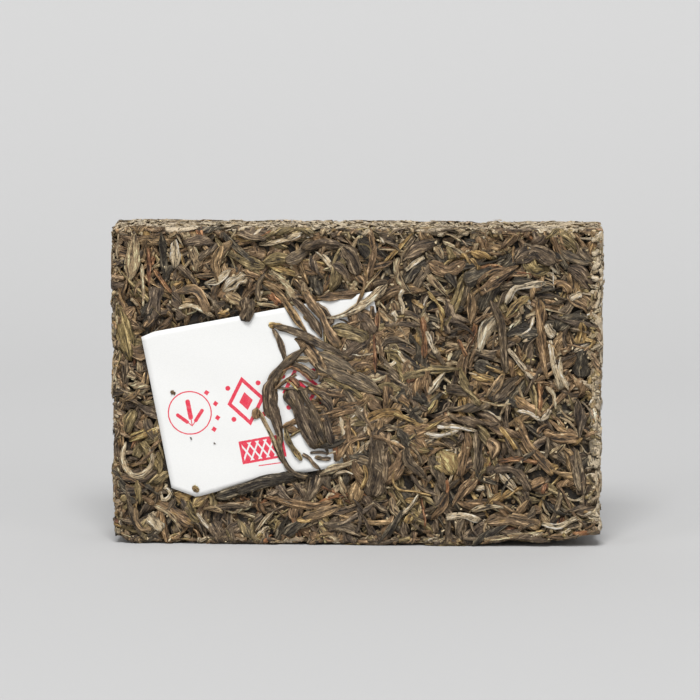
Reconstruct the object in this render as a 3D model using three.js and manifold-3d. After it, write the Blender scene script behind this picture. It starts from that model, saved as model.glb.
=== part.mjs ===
// A brick of pressed pu erh tea. It stands on one long edge, with a paper ticket set into its front.
// Millimetres: X along the brick, Y through its thickness with the front at -Y, Z up.
// The origin is the middle of the base. The tea is one solid: a pressed core with its larger leaves fused on.
import * as THREE from "three";
import { mergeVertices } from "three/addons/utils/BufferGeometryUtils.js";
import Module from "manifold-3d";

const wasm = await Module();
wasm.setup();

// The pressed brick, and the leaves that stand off its front where they lie over the ticket.
const WIDTH = 145;
const HEIGHT = 95;
const THICKNESS = 25;
const LOOSE_RISE = 2;
const DEPTH = THICKNESS + LOOSE_RISE;
const FRONT = LOOSE_RISE - DEPTH / 2;
const BACK = DEPTH / 2;
const CORNER = 3.2;
const EDGE = 1.4;
const RELIEF = 1.4; // depth of the gaps between the leaves on a face

// The ticket: its middle on the front, its cut corner, and the gap that parts it from the tea.
const TICKET = { x: -24.9, z: 44, width: 69, height: 51.5, tilt: 10 };
const TICKET_CUT = { along: 7.2, up: 3.6 };
const PAPER = 0.4;
const GAP = 0.3;
const PAPER_BACK = FRONT + RELIEF - GAP;

// The mound of loosened tea that hides the ticket's right end: its middle, reach and rise over the core.
const MOUND = { x: 5.3, z: 44, across: 19, up: 25, rise: 2.4, sides: 16, steps: 8 };

// A leaf's mesh: sides round its section, turned so that one lies flat on top, and steps along it.
const SIDES = 5;
const FLAT_TOP = 18;
const STEPS = 6;
const LEAF_THICKNESS = 0.4; // share of its width
const SEED = 1976;

const deg = THREE.MathUtils.degToRad;

// A repeatable source of numbers from 0 to 1.
function seeded(seed) {
  let state = seed;
  return () => {
    state = (state + 0x6d2b79f5) | 0;
    let t = Math.imul(state ^ (state >>> 15), 1 | state);
    t = (t + Math.imul(t ^ (t >>> 7), 61 | t)) ^ t;
    return ((t ^ (t >>> 14)) >>> 0) / 4294967296;
  };
}
const random = seeded(SEED);
const between = (low, high) => low + (high - low) * random();

// A geometry with its shared vertices merged, that as a solid, and a solid as a mesh.
function merged(geometry) {
  geometry.deleteAttribute("normal");
  geometry.deleteAttribute("uv");
  return mergeVertices(geometry, 1e-4);
}

function solid(closed) {
  return new wasm.Manifold(
    new wasm.Mesh({
      numProp: 3,
      vertProperties: new Float32Array(closed.attributes.position.array),
      triVerts: new Uint32Array(closed.index.array),
    }),
  );
}

function shown(name, shape, material) {
  const { vertProperties, triVerts } = shape.getMesh();
  const geometry = new THREE.BufferGeometry();
  geometry.setAttribute("position", new THREE.BufferAttribute(vertProperties, 3));
  geometry.setIndex(new THREE.BufferAttribute(triVerts, 1));
  geometry.computeVertexNormals();
  const mesh = new THREE.Mesh(geometry, material);
  mesh.name = name;
  return mesh;
}

// A rounded rectangle on the XZ plane, drawn out along Y from near to far.
function slab({ width, bottom, top, near, far, corner, edge }) {
  const x = width / 2 - edge;
  const low = bottom + edge;
  const high = top - edge;
  const r = corner - edge;
  const outline = new THREE.Shape();
  outline.moveTo(r - x, low);
  outline.lineTo(x - r, low);
  outline.absarc(x - r, low + r, r, -Math.PI / 2, 0);
  outline.absarc(x - r, high - r, r, 0, Math.PI / 2);
  outline.absarc(r - x, high - r, r, Math.PI / 2, Math.PI);
  outline.absarc(r - x, low + r, r, Math.PI, 1.5 * Math.PI);
  const shape = new THREE.ExtrudeGeometry(outline, {
    depth: far - near - 2 * edge,
    bevelEnabled: true,
    bevelThickness: edge,
    bevelSize: edge,
    bevelSegments: 2,
    curveSegments: 3,
  });
  shape.rotateX(Math.PI / 2); // the drawing's Y becomes Z, and its depth runs to -Y
  shape.translate(0, far - edge, 0);
  return solid(merged(shape));
}

const mould = slab({
  width: WIDTH,
  bottom: 0,
  top: HEIGHT,
  near: FRONT,
  far: BACK,
  corner: CORNER,
  edge: EDGE,
});
const core = slab({
  width: WIDTH - 2 * RELIEF,
  bottom: 0,
  top: HEIGHT - RELIEF,
  near: FRONT + RELIEF,
  far: BACK - RELIEF,
  corner: CORNER,
  edge: EDGE,
});
const looseRoom = slab({
  width: WIDTH,
  bottom: 0,
  top: HEIGHT,
  near: -DEPTH / 2,
  far: 0,
  corner: CORNER,
  edge: 0.5,
});

// The ticket's outline, grown by a margin, and drawn out along Y from near to far.
function ticketPrism(margin, near, far) {
  const x = TICKET.width / 2 + margin;
  const z = TICKET.height / 2 + margin;
  const outline = new THREE.Shape();
  outline.moveTo(TICKET_CUT.along - x, -z);
  outline.lineTo(x, -z);
  outline.lineTo(x, z);
  outline.lineTo(-x, z);
  outline.lineTo(-x, TICKET_CUT.up - z);
  const shape = new THREE.ExtrudeGeometry(outline, {
    depth: far - near,
    bevelEnabled: false,
  });
  shape.rotateZ(deg(TICKET.tilt));
  shape.rotateX(Math.PI / 2);
  shape.translate(TICKET.x, far, TICKET.z);
  return solid(merged(shape));
}

// How far a point of the front lies inside the ticket's edges, below 0 outside them.
function insideTicket(x, z) {
  const turn = deg(TICKET.tilt);
  const dx = x - TICKET.x;
  const dz = z - TICKET.z;
  const along = dx * Math.cos(turn) + dz * Math.sin(turn);
  const up = dz * Math.cos(turn) - dx * Math.sin(turn);
  return Math.min(
    TICKET.width / 2 - Math.abs(along),
    TICKET.height / 2 - Math.abs(up),
  );
}

// The faces of the brick: where each one lies, and which ways run across, up and out of it.
const X = new THREE.Vector3(1, 0, 0);
const Y = new THREE.Vector3(0, 1, 0);
const Z = new THREE.Vector3(0, 0, 1);
const minus = (v) => v.clone().negate();

function face(across, up, out, centre, width, height) {
  const frame = new THREE.Matrix4().makeBasis(across, up, out);
  frame.setPosition(centre);
  return { frame, width, height };
}

const MIDDLE = (FRONT + BACK) / 2;
const faces = {
  front: face(X, Z, minus(Y), new THREE.Vector3(0, FRONT, HEIGHT / 2), WIDTH, HEIGHT),
  back: face(minus(X), Z, Y, new THREE.Vector3(0, BACK, HEIGHT / 2), WIDTH, HEIGHT),
  top: face(X, Y, Z, new THREE.Vector3(0, MIDDLE, HEIGHT), WIDTH, THICKNESS),
  right: face(Y, Z, X, new THREE.Vector3(WIDTH / 2, MIDDLE, HEIGHT / 2), THICKNESS, HEIGHT),
  left: face(minus(Y), Z, minus(X), new THREE.Vector3(-WIDTH / 2, MIDDLE, HEIGHT / 2), THICKNESS, HEIGHT),
};

const ball = merged(new THREE.SphereGeometry(1, SIDES, STEPS));

// A leaf on a face: the ball drawn out along an arc, flattened, rolled about its own line and
// thinned towards both ends. rise gives the height of its middle over the face at a point of the face.
function leaf(on, { x, y, heading, length, width, bend, roll, twist, rise }) {
  const shape = ball.clone();
  const places = shape.attributes.position;
  const turn = deg(Math.abs(bend) < 1 ? 1 : bend);
  const radius = length / turn;
  for (let i = 0; i < places.count; i++) {
    const t = Math.acos(THREE.MathUtils.clamp(places.getY(i), -1, 1)) / Math.PI;
    const around = Math.atan2(places.getZ(i), places.getX(i)) + deg(FLAT_TOP);
    const girth = (width / 2) * Math.max(0, Math.sin(Math.PI * t)) ** 0.5;
    const wide = girth * Math.cos(around);
    const thick = girth * LEAF_THICKNESS * Math.sin(around);
    const lean = deg(roll + twist * (t - 0.5));
    const side = wide * Math.cos(lean) - thick * Math.sin(lean);
    const up = wide * Math.sin(lean) + thick * Math.cos(lean);
    const swing = turn * (t - 0.5);
    const reach = radius * Math.sin(swing);
    const drift = radius * (1 - Math.cos(swing));
    const start = deg(heading);
    const u = x + reach * Math.cos(start) - drift * Math.sin(start);
    const v = y + reach * Math.sin(start) + drift * Math.cos(start);
    const way = start + swing;
    places.setXYZ(i, u - side * Math.sin(way), v + side * Math.cos(way), rise(u, v) + up);
  }
  shape.applyMatrix4(on.frame);
  return solid(shape);
}

// The height of a leaf's middle where it is pressed into a face, with its top near the mould.
const halfThickness = (width) => (width / 2) * LEAF_THICKNESS;
const pressedRise = (width) => -halfThickness(width) - between(0, 0.25) * RELIEF;

// Leaves spread over a face on an uneven grid. Those near an edge are turned along it.
function spread(on, columns, rows, { length, width, bend }) {
  const made = [];
  for (let column = 0; column < columns; column++)
    for (let row = 0; row < rows; row++) {
      const x = ((column + between(0.15, 0.85)) / columns - 0.5) * on.width;
      const y = ((row + between(0.15, 0.85)) / rows - 0.5) * on.height;
      const toSide = on.width / 2 - Math.abs(x);
      const toEnd = on.height / 2 - Math.abs(y);
      const along = toSide < toEnd ? 90 : 0;
      const nearEdge = Math.min(toSide, toEnd) < width[1];
      made.push({
        x,
        y,
        heading: nearEdge ? along + between(-9, 9) : between(0, 180),
        length: between(...length),
        width: between(...width),
        bend: between(-1, 1) * bend,
        roll: between(-14, 14),
        twist: between(-40, 40),
      });
    }
  return made;
}

const LARGE = { length: [20, 34], width: [3.6, 6.4], bend: 60 };
const SMALL = { length: [15, 27], width: [3, 5], bend: 25 };

function pressedLeaf(on) {
  return (size) => {
    const middle = pressedRise(size.width);
    return leaf(on, { ...size, rise: () => middle });
  };
}

// The leaves over the ticket lie in two layers on the paper, and run down into the brick past its edge.
const PAPER_FACE = -(RELIEF - GAP - PAPER);
const LAYER_FOOT = [PAPER_FACE + GAP - 0.1, PAPER_FACE + GAP + 0.65];
const COVERED_FROM = 10; // along the ticket from its middle, beyond which the tea hides it
const over = (x, z) => THREE.MathUtils.smoothstep(insideTicket(x, z), -3, 1);

function looseLeaf({ layer, ...size }) {
  const half = halfThickness(size.width);
  const sunk = -half - 0.2;
  const clear = LAYER_FOOT[layer] + half;
  return leaf(faces.front, {
    ...size,
    rise: (u, v) => THREE.MathUtils.lerp(sunk, clear, over(u, v + HEIGHT / 2)),
  });
}

const alongTicket = (x, z) => {
  const turn = deg(TICKET.tilt);
  return (x - TICKET.x) * Math.cos(turn) + (z - TICKET.z) * Math.sin(turn);
};

const frontLeaves = spread(faces.front, 9, 6, LARGE);
const onTicket = ({ x, y }) => insideTicket(x, y + HEIGHT / 2) > 1;
const onCoveredPart = ({ x, y }) => alongTicket(x, y + HEIGHT / 2) > COVERED_FROM;

const pressedLeaves = [
  ...frontLeaves.filter((size) => !onTicket(size)).map(pressedLeaf(faces.front)),
  ...spread(faces.back, 8, 5, LARGE).map(pressedLeaf(faces.back)),
  ...spread(faces.top, 7, 1, SMALL).map(pressedLeaf(faces.top)),
  ...spread(faces.left, 1, 4, SMALL).map(pressedLeaf(faces.left)),
  ...spread(faces.right, 1, 4, SMALL).map(pressedLeaf(faces.right)),
];

// The larger leaves that show over the ticket, by where they lie in the photo:
// [x, z, heading, length, width, bend, layer].
const overTicket = [
  [-22, 71, -50, 24, 3, -22, 0],
  [-12.5, 67, -50, 25, 4, 6, 1],
  [-9, 59, -19, 38, 3.4, -8, 1],
  [-22, 58.5, -67, 11, 2, -14, 0],
  [-26.8, 47.5, -97, 27, 4.4, 84, 0],
  [-22.3, 31, -70, 30, 3, 22, 1],
  [-14, 36, -64, 28, 5.2, -6, 0],
  [-4.5, 50.5, -36, 36, 7, 12, 0],
  [-14, 46.5, -20, 17, 2.6, -10, 1],
  [2, 70.5, 30, 26, 3.4, 27, 0],
  [0, 62.5, -15, 18, 4, 10, 0],
  [-26, 33.5, -57, 18, 2.6, 6, 0],
  [-7, 29.5, 12, 24, 3.6, 10, 1],
  [-2, 22.5, 24, 22, 3.4, 25, 0],
  [-23, 17.5, 8, 25, 3.8, -20, 0],
  [-33, 71.5, -76, 12, 3.2, 8, 0],
];

const looseLeaves = [
  ...frontLeaves
    .filter((size) => onTicket(size) && onCoveredPart(size))
    .map((size, i) => looseLeaf({ ...size, layer: i % 2 })),
  ...overTicket.map(([x, z, heading, length, width, bend, layer]) =>
    looseLeaf({ x, y: z - HEIGHT / 2, heading, length, width, bend, layer, roll: 0, twist: 16 }),
  ),
];

const moundShape = merged(new THREE.SphereGeometry(1, MOUND.sides, MOUND.steps));
moundShape.scale(MOUND.across, MOUND.rise, MOUND.up);
moundShape.translate(MOUND.x, FRONT + RELIEF, MOUND.z);

// The tea: pressed leaves trimmed by the mould, cleared off the ticket, then the loosened tea over it.
const { Manifold } = wasm;
const pressed = Manifold.union([core, ...pressedLeaves])
  .intersect(mould)
  .subtract(ticketPrism(GAP, -DEPTH, PAPER_BACK + GAP));
const loose = Manifold.union([solid(moundShape), ...looseLeaves]).intersect(looseRoom);
const slot = ticketPrism(GAP, PAPER_BACK - PAPER - GAP, PAPER_BACK + GAP);
const joined = pressed.add(loose).subtract(slot);
const tea = joined.decompose().reduce((a, b) => (a.volume() > b.volume() ? a : b));
const ticket = ticketPrism(0, PAPER_BACK - PAPER, PAPER_BACK);

const teaFinish = new THREE.MeshStandardMaterial({ color: "#5f4f3d", roughness: 0.82, metalness: 0 });
const paperFinish = new THREE.MeshStandardMaterial({ color: "#f1f0ec", roughness: 0.7, metalness: 0 });

const brick = new THREE.Group();
brick.name = "pressed_tea_brick";
brick.add(shown("tea_brick", tea, teaFinish));
brick.add(shown("paper_ticket", ticket, paperFinish));

export default brick;
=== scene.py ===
"""A brick of pressed pu erh tea, standing on its long edge, with a paper ticket set into its front.

The leaves are laid one by one on each face of the brick, each one resting on those below it, and the
pile is then pressed flat as the tea maker's mould does it. Lengths are in millimetres until a mesh is made.
"""

import math
from functools import lru_cache

import bpy
import numpy as np
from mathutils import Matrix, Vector


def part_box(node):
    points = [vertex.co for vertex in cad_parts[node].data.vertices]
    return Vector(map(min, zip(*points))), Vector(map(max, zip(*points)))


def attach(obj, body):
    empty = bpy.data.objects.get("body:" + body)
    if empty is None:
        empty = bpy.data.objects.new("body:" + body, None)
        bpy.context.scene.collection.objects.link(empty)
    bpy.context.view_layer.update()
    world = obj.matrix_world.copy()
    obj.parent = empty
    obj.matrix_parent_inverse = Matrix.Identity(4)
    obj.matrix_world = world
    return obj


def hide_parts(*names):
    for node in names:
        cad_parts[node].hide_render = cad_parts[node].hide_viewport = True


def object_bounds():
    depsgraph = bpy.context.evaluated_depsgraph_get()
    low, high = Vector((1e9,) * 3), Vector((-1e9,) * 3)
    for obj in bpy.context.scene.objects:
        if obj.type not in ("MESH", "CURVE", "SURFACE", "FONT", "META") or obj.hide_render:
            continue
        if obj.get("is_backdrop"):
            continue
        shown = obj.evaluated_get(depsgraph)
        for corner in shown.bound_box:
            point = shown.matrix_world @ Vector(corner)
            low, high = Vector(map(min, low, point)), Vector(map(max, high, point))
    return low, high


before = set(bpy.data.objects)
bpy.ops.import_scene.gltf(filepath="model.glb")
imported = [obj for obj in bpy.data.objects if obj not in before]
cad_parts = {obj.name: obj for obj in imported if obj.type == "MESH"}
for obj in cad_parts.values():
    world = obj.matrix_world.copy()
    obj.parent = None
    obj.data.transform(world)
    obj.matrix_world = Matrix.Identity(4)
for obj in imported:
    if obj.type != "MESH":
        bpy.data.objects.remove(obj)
cad_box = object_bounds()

MM = 0.001
TEA_LOW, TEA_HIGH = (np.array(corner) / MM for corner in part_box("tea_brick"))
PAPER_LOW = np.array(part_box("paper_ticket")[0]) / MM

# The brick, and how far the loosened leaves stand off its front
LOOSE_RISE = 2.0
WIDTH = TEA_HIGH[0] - TEA_LOW[0]
HEIGHT = TEA_HIGH[2]
FRONT = TEA_LOW[1] + LOOSE_RISE
BACK = TEA_HIGH[1]
THICKNESS = BACK - FRONT
MIDDLE = (FRONT + BACK) / 2
FACE_EDGE = 1.2
CORNER = 1.5

# The ticket: its middle, size and tilt, its cut lower corner, its worn upper one, and how its lower edge
# rises. Heights are over the front's plane, and the leaves under the paper lie at its bed.
TICKET = {"x": -24.8, "z": 44.7, "width": 70.2, "height": 51.3, "tilt": math.radians(10.8)}
TICKET_CUT = {"along": 6.9, "up": 4.1}
TICKET_WORN = {"along": 4.0, "down": 0.9}
TICKET_CURL = {"along": 15.0, "up": 1.5}
PAPER_LEVEL = FRONT - PAPER_LOW[1] + 0.15
PAPER_THICKNESS = 0.12
PAPER_BED = PAPER_LEVEL - 0.3

# How the mould presses the pile: what stands above its plane and what lies in the gaps
MARGIN = 5.0
CELL = 0.35
PILE_SMOOTH = 6.0
DEEP = 2.4
CORE_DEPTH = 1.8
CORE_CORNER = 1.3
SINK = 0.5
KEPT_SHAPE = 0.8
PRESSED_WHOLE = 0.6
SHARE_ABOVE = 0.42
MOST_OVER_PROUD = 1.6
FLOOR_GAP = 0.03

# How a leaf rests: where across it the bed is felt, how far it leans, and how stiff it is along its length
FELT_AT = 0.7
LEAST_REACH = 0.2
MOST_LEAN = 0.4
STIFFNESS = 4
LEAST_CELLS = 8

# How the outline is worn: how far in from each edge it reaches, how high its waves are, and where the foot
# lifts, as side, height, and the stretch of the length over which it rises
WORN_SIDE, WORN_TOP, WORN_FOOT = 6, 6, 5
SIDE_WAVES, TOP_WAVES, FOOT_WAVES = (0.2, 0.14), (0.1, 0.1), (0.32, 0.32)
LIFTED_UP_TO = 13
FOOT_LIFTS = [(1, 1.4, 28, 52), (1, 2.3, WIDTH / 2 - 14, WIDTH / 2), (-1, 1.6, WIDTH / 2 - 7, WIDTH / 2)]


# Where the leaves lie


def fold(s, half, radius):
    """Bends a face's coordinate round its edge: place along, drop behind the face, and the outward way."""
    over = np.abs(s) - (half - radius)
    turn = np.clip(over / radius, 0, np.pi / 2)
    past = np.maximum(over - radius * np.pi / 2, 0)
    along = np.where(over > 0, np.sign(s) * (half - radius + radius * np.sin(turn)), s)
    return along, radius * (1 - np.cos(turn)) + past, np.sign(s) * np.sin(turn), np.cos(turn)


def worn(place):
    """Wears the outline: its sides and top wave a little, and its foot is ragged and lifts at both ends."""
    x, y, z = place[..., 0], place[..., 1], place[..., 2]
    at_side = smooth_step(np.abs(x), WIDTH / 2 - WORN_SIDE, WIDTH / 2)
    at_top = smooth_step(z, HEIGHT - WORN_TOP, HEIGHT)
    at_foot = 1 - smooth_step(z, 0, WORN_FOOT)
    turn = np.where(x > 0, 1.9, 4.4)
    side = SIDE_WAVES[0] * np.sin(z / 4.3 + turn + 0.1 * y)
    side = side + SIDE_WAVES[1] * np.sin(z / 1.7 + 2 * turn + 0.4 * y) * np.sin(z / 6 + 1)
    top = TOP_WAVES[0] * np.sin(x / 7.9 + 0.2 * y)
    top = top + TOP_WAVES[1] * np.sin(x / 1.7 - 0.4 * y) * np.sin(x / 11 + 2)
    foot = FOOT_WAVES[0] + FOOT_WAVES[1] * np.sin(x / 2.3 + y / 3) * np.sin(x / 5.1 + 1)
    lift = sum(rise * smooth_step(way * x, start, end) for way, rise, start, end in FOOT_LIFTS)
    lift = lift * (1 - smooth_step(z, 0, LIFTED_UP_TO))
    return np.stack([x + np.sign(x) * at_side * side, y, z + at_top * top + at_foot * foot + lift], -1)


class Face:
    """The front or the back. across, up and out are its own ways, and heights are over the mould."""

    wraps = False

    def __init__(self, across, out, y):
        self.axes = np.array([across, (0, 0, 1), out], float)
        self.centre = np.array([0, y, HEIGHT / 2])
        self.half = np.array([WIDTH / 2, HEIGHT / 2])

    def place(self, u, v, h):
        x, drop_x, lean_x, up_x = fold(u, self.half[0], FACE_EDGE)
        y, drop_y, lean_y, up_y = fold(v, self.half[1], FACE_EDGE)
        way = np.stack([lean_x, lean_y, up_x * up_y], -1)
        way /= np.linalg.norm(way, axis=-1, keepdims=True)
        local = np.stack([x, y, -(drop_x + drop_y)], -1) + way * h[..., None]
        return worn(self.centre + local @ self.axes)


class Rim:
    """The brick's four narrow sides as one band. u runs round it, and v across it towards the back."""

    wraps = True

    def __init__(self):
        straight = {"x": WIDTH / 2 - CORNER, "z": HEIGHT / 2 - CORNER}
        turns = np.linspace(0, np.pi / 2, 9)
        points = []
        ways = []
        for k, (side_x, side_z) in enumerate([(1, 1), (1, -1), (-1, -1), (-1, 1)]):
            angles = np.pi / 2 * (1 - k) - turns
            centre = np.array([side_x * straight["x"], side_z * straight["z"]])
            way = np.stack([np.cos(angles), np.sin(angles)], -1)
            points.append(centre + CORNER * way)
            ways.append(way)
        points = np.concatenate(points)
        self.ways = np.concatenate(ways)
        self.points = np.vstack([points, points[:1]])
        self.ways = np.vstack([self.ways, self.ways[:1]])
        steps = np.linalg.norm(np.diff(self.points, axis=0), axis=1)
        self.at = np.concatenate([[0], np.cumsum(steps)])
        self.length = self.at[-1]
        self.half = np.array([self.length / 2, THICKNESS / 2])

    def place(self, u, v, h):
        s = np.mod(u, self.length)
        x, z = (np.interp(s, self.at, self.points[:, i]) for i in (0, 1))
        way_x, way_z = (np.interp(s, self.at, self.ways[:, i]) for i in (0, 1))
        y, drop, lean, up = fold(v, self.half[1], FACE_EDGE)
        out = h * up - drop
        return worn(np.stack([x + way_x * out, MIDDLE + y + h * lean, HEIGHT / 2 + z + way_z * out], -1))


FRONT_FACE = Face((1, 0, 0), (0, -1, 0), FRONT)
BACK_FACE = Face((-1, 0, 0), (0, 1, 0), BACK)
RIM = Rim()


def smooth_step(value, low, high):
    t = np.clip((value - low) / (high - low), 0, 1)
    return t * t * (3 - 2 * t)


def in_ticket(x, z):
    """A point of the front in the ticket's own frame."""
    dx = x - TICKET["x"]
    dz = z - TICKET["z"]
    cos, sin = math.cos(TICKET["tilt"]), math.sin(TICKET["tilt"])
    return dx * cos + dz * sin, dz * cos - dx * sin


def inside_ticket(x, z):
    """How far a point of the front lies inside the ticket's edges, below 0 outside them."""
    along, up = in_ticket(x, z)
    return np.minimum(TICKET["width"] / 2 - np.abs(along), TICKET["height"] / 2 - np.abs(up))


def paper_wave(along, up):
    """The slight waves of the paper, over its flat place."""
    rise = 0.10 * np.sin(along / 9.5 + 0.6) * np.cos(up / 13 - 0.4)
    return rise + 0.05 * np.sin((along + 1.7 * up) / 5.3)


# The pile of leaves on a face


class Bed:
    """The height of what has been laid on a face so far, on a fine grid, and whose leaf is on top."""

    def __init__(self, face):
        self.face = face
        self.half = face.half + MARGIN
        if face.wraps:
            self.half = np.array([face.half[0], face.half[1] + MARGIN])
        self.shape = tuple(np.round(2 * self.half / CELL).astype(int))
        self.step = 2 * self.half / np.array(self.shape)
        self.height = np.zeros(self.shape)
        self.owner = np.full(self.shape, -1)

    def cells(self, u, v):
        i = np.floor((u + self.half[0]) / self.step[0]).astype(int)
        j = np.floor((v + self.half[1]) / self.step[1]).astype(int)
        i = i % self.shape[0] if self.face.wraps else np.clip(i, 0, self.shape[0] - 1)
        return i * self.shape[1] + np.clip(j, 0, self.shape[1] - 1)

    def middles(self):
        u = (np.arange(self.shape[0]) + 0.5) * self.step[0] - self.half[0]
        v = (np.arange(self.shape[1]) + 0.5) * self.step[1] - self.half[1]
        return np.meshgrid(u, v, indexing="ij")

    def read(self, grid, u, v):
        """A grid's value between its cells."""
        x = (u + self.half[0]) / self.step[0] - 0.5
        y = np.clip((v + self.half[1]) / self.step[1] - 0.5, 0, self.shape[1] - 1.001)
        if not self.face.wraps:
            x = np.clip(x, 0, self.shape[0] - 1.001)
        i, j = np.floor(x).astype(int), np.floor(y).astype(int)
        a, b = x - i, y - j
        i0, i1 = i % self.shape[0], (i + 1) % self.shape[0]
        low = grid[i0, j] * (1 - a) + grid[i1, j] * a
        high = grid[i0, j + 1] * (1 - a) + grid[i1, j + 1] * a
        return low * (1 - b) + high * b

    def blurred(self, grid, reach):
        """The grid without anything smaller than reach."""
        pad = 0 if self.face.wraps else int(3 * reach / self.step[0])
        pad_v = int(3 * reach / self.step[1])
        wide = np.pad(grid, ((pad, pad), (pad_v, pad_v)), mode="reflect")
        across = np.fft.fftfreq(wide.shape[0], self.step[0])
        up = np.fft.rfftfreq(wide.shape[1], self.step[1])
        keep = np.exp(-2 * (np.pi * reach) ** 2 * (across[:, None] ** 2 + up[None, :] ** 2))
        soft = np.fft.irfft2(np.fft.rfft2(wide) * keep, wide.shape)
        return soft[pad : pad + self.shape[0], pad_v : pad_v + self.shape[1]]

    def lay(self, leaf, number):
        """Rests a leaf on the bed: its middle line bridges the gaps, and it leans as what lies under it."""
        line, side = leaf["line"], leaf["side"]
        reach = np.maximum(leaf["half_width"], LEAST_REACH)
        lateral = np.array([-FELT_AT, 0.0, FELT_AT])
        under = line[:, None, :] + side[:, None, :] * (lateral[None, :, None] * reach[:, None, None])
        found = self.height.flat[self.cells(under[..., 0], under[..., 1])]
        base = 0.5 * found.max(1) + 0.5 * found.mean(1)
        even = stiffener(len(line))
        base = np.maximum(even @ base, even @ (base - SINK))
        slope = (found[:, 2] - found[:, 0]) / (2 * FELT_AT * reach + 0.3)
        lean = even @ np.clip(slope, -MOST_LEAN, MOST_LEAN)
        a, b = leaf["across"], leaf["thick"]
        flat = line[:, None, :] + side[:, None, :] * (a - b * lean[:, None])[..., None]
        flat = flat + leaf["way"][:, None, :] * leaf["slip"][..., None]
        leaf["u"], leaf["v"] = flat[..., 0], flat[..., 1]
        leaf["z"] = (base + leaf["settle"])[:, None] + b + a * lean[:, None]
        self.mark(leaf, "z", number)

    def mark(self, leaf, key, number):
        """Raises the bed to a leaf's points where they stand above it."""
        along, round_it = finer(*leaf[key].shape)
        u, v, height = (along @ leaf[k] @ round_it.T for k in ("u", "v", key))
        at = self.cells(u, v).ravel()
        height = height.ravel()
        np.maximum.at(self.height.reshape(-1), at, height)
        top = self.height.reshape(-1)[at] == height
        self.owner.reshape(-1)[at[top]] = number

    def mark_pressed(self, leaves):
        """Starts again with the leaves where they lie after pressing."""
        self.height[:] = -DEEP
        self.owner[:] = -1
        for number, leaf in enumerate(leaves):
            self.mark(leaf, "h", number)


@lru_cache(maxsize=None)
def stiffener(count):
    """A matrix that evens out heights along a leaf as its stiffness does."""
    once = np.eye(count) * 0.5
    for i in range(count):
        once[i, max(i - 1, 0)] += 0.25
        once[i, min(i + 1, count - 1)] += 0.25
    return np.linalg.matrix_power(once, STIFFNESS)


@lru_cache(maxsize=None)
def finer(rings, sides, along=6, around=3):
    """Two matrices that fill in points between a leaf's rings and between its sides."""
    t = np.linspace(0, rings - 1, (rings - 1) * along + 1)
    i = np.minimum(t.astype(int), rings - 2)
    length = np.zeros((len(t), rings))
    length[np.arange(len(t)), i] = 1 - (t - i)
    length[np.arange(len(t)), i + 1] += t - i
    s = np.arange(sides * around) / around
    j = s.astype(int)
    girth = np.zeros((len(s), sides))
    girth[np.arange(len(s)), j] = 1 - (s - j)
    girth[np.arange(len(s)), (j + 1) % sides] += s - j
    return length, girth


# The forms of a leaf. Lengths and widths are ranges, flat is thickness over width, taper is the share of the
# length that each end takes to come to a point, bend and twist are in degrees.
FORMS = {
    "rolled": dict(
        length=(6, 24), width=(1.5, 3.6), flat=(0.42, 0.72), taper=(0.03, 0.36), bend=100, twist=420,
        ridge=0.2, ridges=(3, 4, 5), groove=0.45, crumple=0.07, crease=0, wave=0.16, sides=10, rings=13,
    ),
    "blade": dict(
        length=(6, 17), width=(2.6, 5.6), flat=(0.16, 0.28), taper=(0.05, 0.4), bend=55, twist=60,
        ridge=0.13, ridges=(3, 4, 5), groove=0.15, crumple=0.08, crease=0.4, wave=0.55, sides=11, rings=11,
    ),
    "stem": dict(
        length=(6, 22), width=(0.8, 1.7), flat=(0.6, 0.95), taper=(0.004, 0.02), bend=60, twist=90,
        ridge=0.14, ridges=(2, 3), groove=0.3, crumple=0.05, crease=0, wave=0.05, sides=7, rings=9,
    ),
    "bud": dict(
        length=(8, 18), width=(1.5, 2.6), flat=(0.5, 0.75), taper=(0.08, 0.6), bend=70, twist=120,
        ridge=0.17, ridges=(3, 4), groove=0.4, crumple=0.06, crease=0, wave=0.05, sides=9, rings=12,
    ),
    "chip": dict(
        length=(2.2, 7.0), width=(1.0, 3.0), flat=(0.22, 0.45), taper=(0.02, 0.25), bend=35, twist=80,
        ridge=0.16, ridges=(2, 3, 4), groove=0.2, crumple=0.1, crease=0.2, wave=0.4, sides=7, rings=7,
    ),
    "round": dict(
        length=(5, 8), width=(4, 7), flat=(0.16, 0.22), taper=(0.42, 0.5), bend=20, twist=10,
        ridge=0.05, ridges=(2, 3), groove=0.1, crumple=0.05, crease=0, wave=0.2, sides=10, rings=10,
    ),
    "thread": dict(
        length=(6, 20), width=(0.5, 1.0), flat=(0.7, 1.0), taper=(0.05, 0.3), bend=150, twist=40,
        ridge=0.12, ridges=(2, 3), groove=0, crumple=0.04, crease=0, wave=0, sides=5, rings=11,
    ),
}

# The forms that are cut off square
BLUNT = ("stem",)

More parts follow.
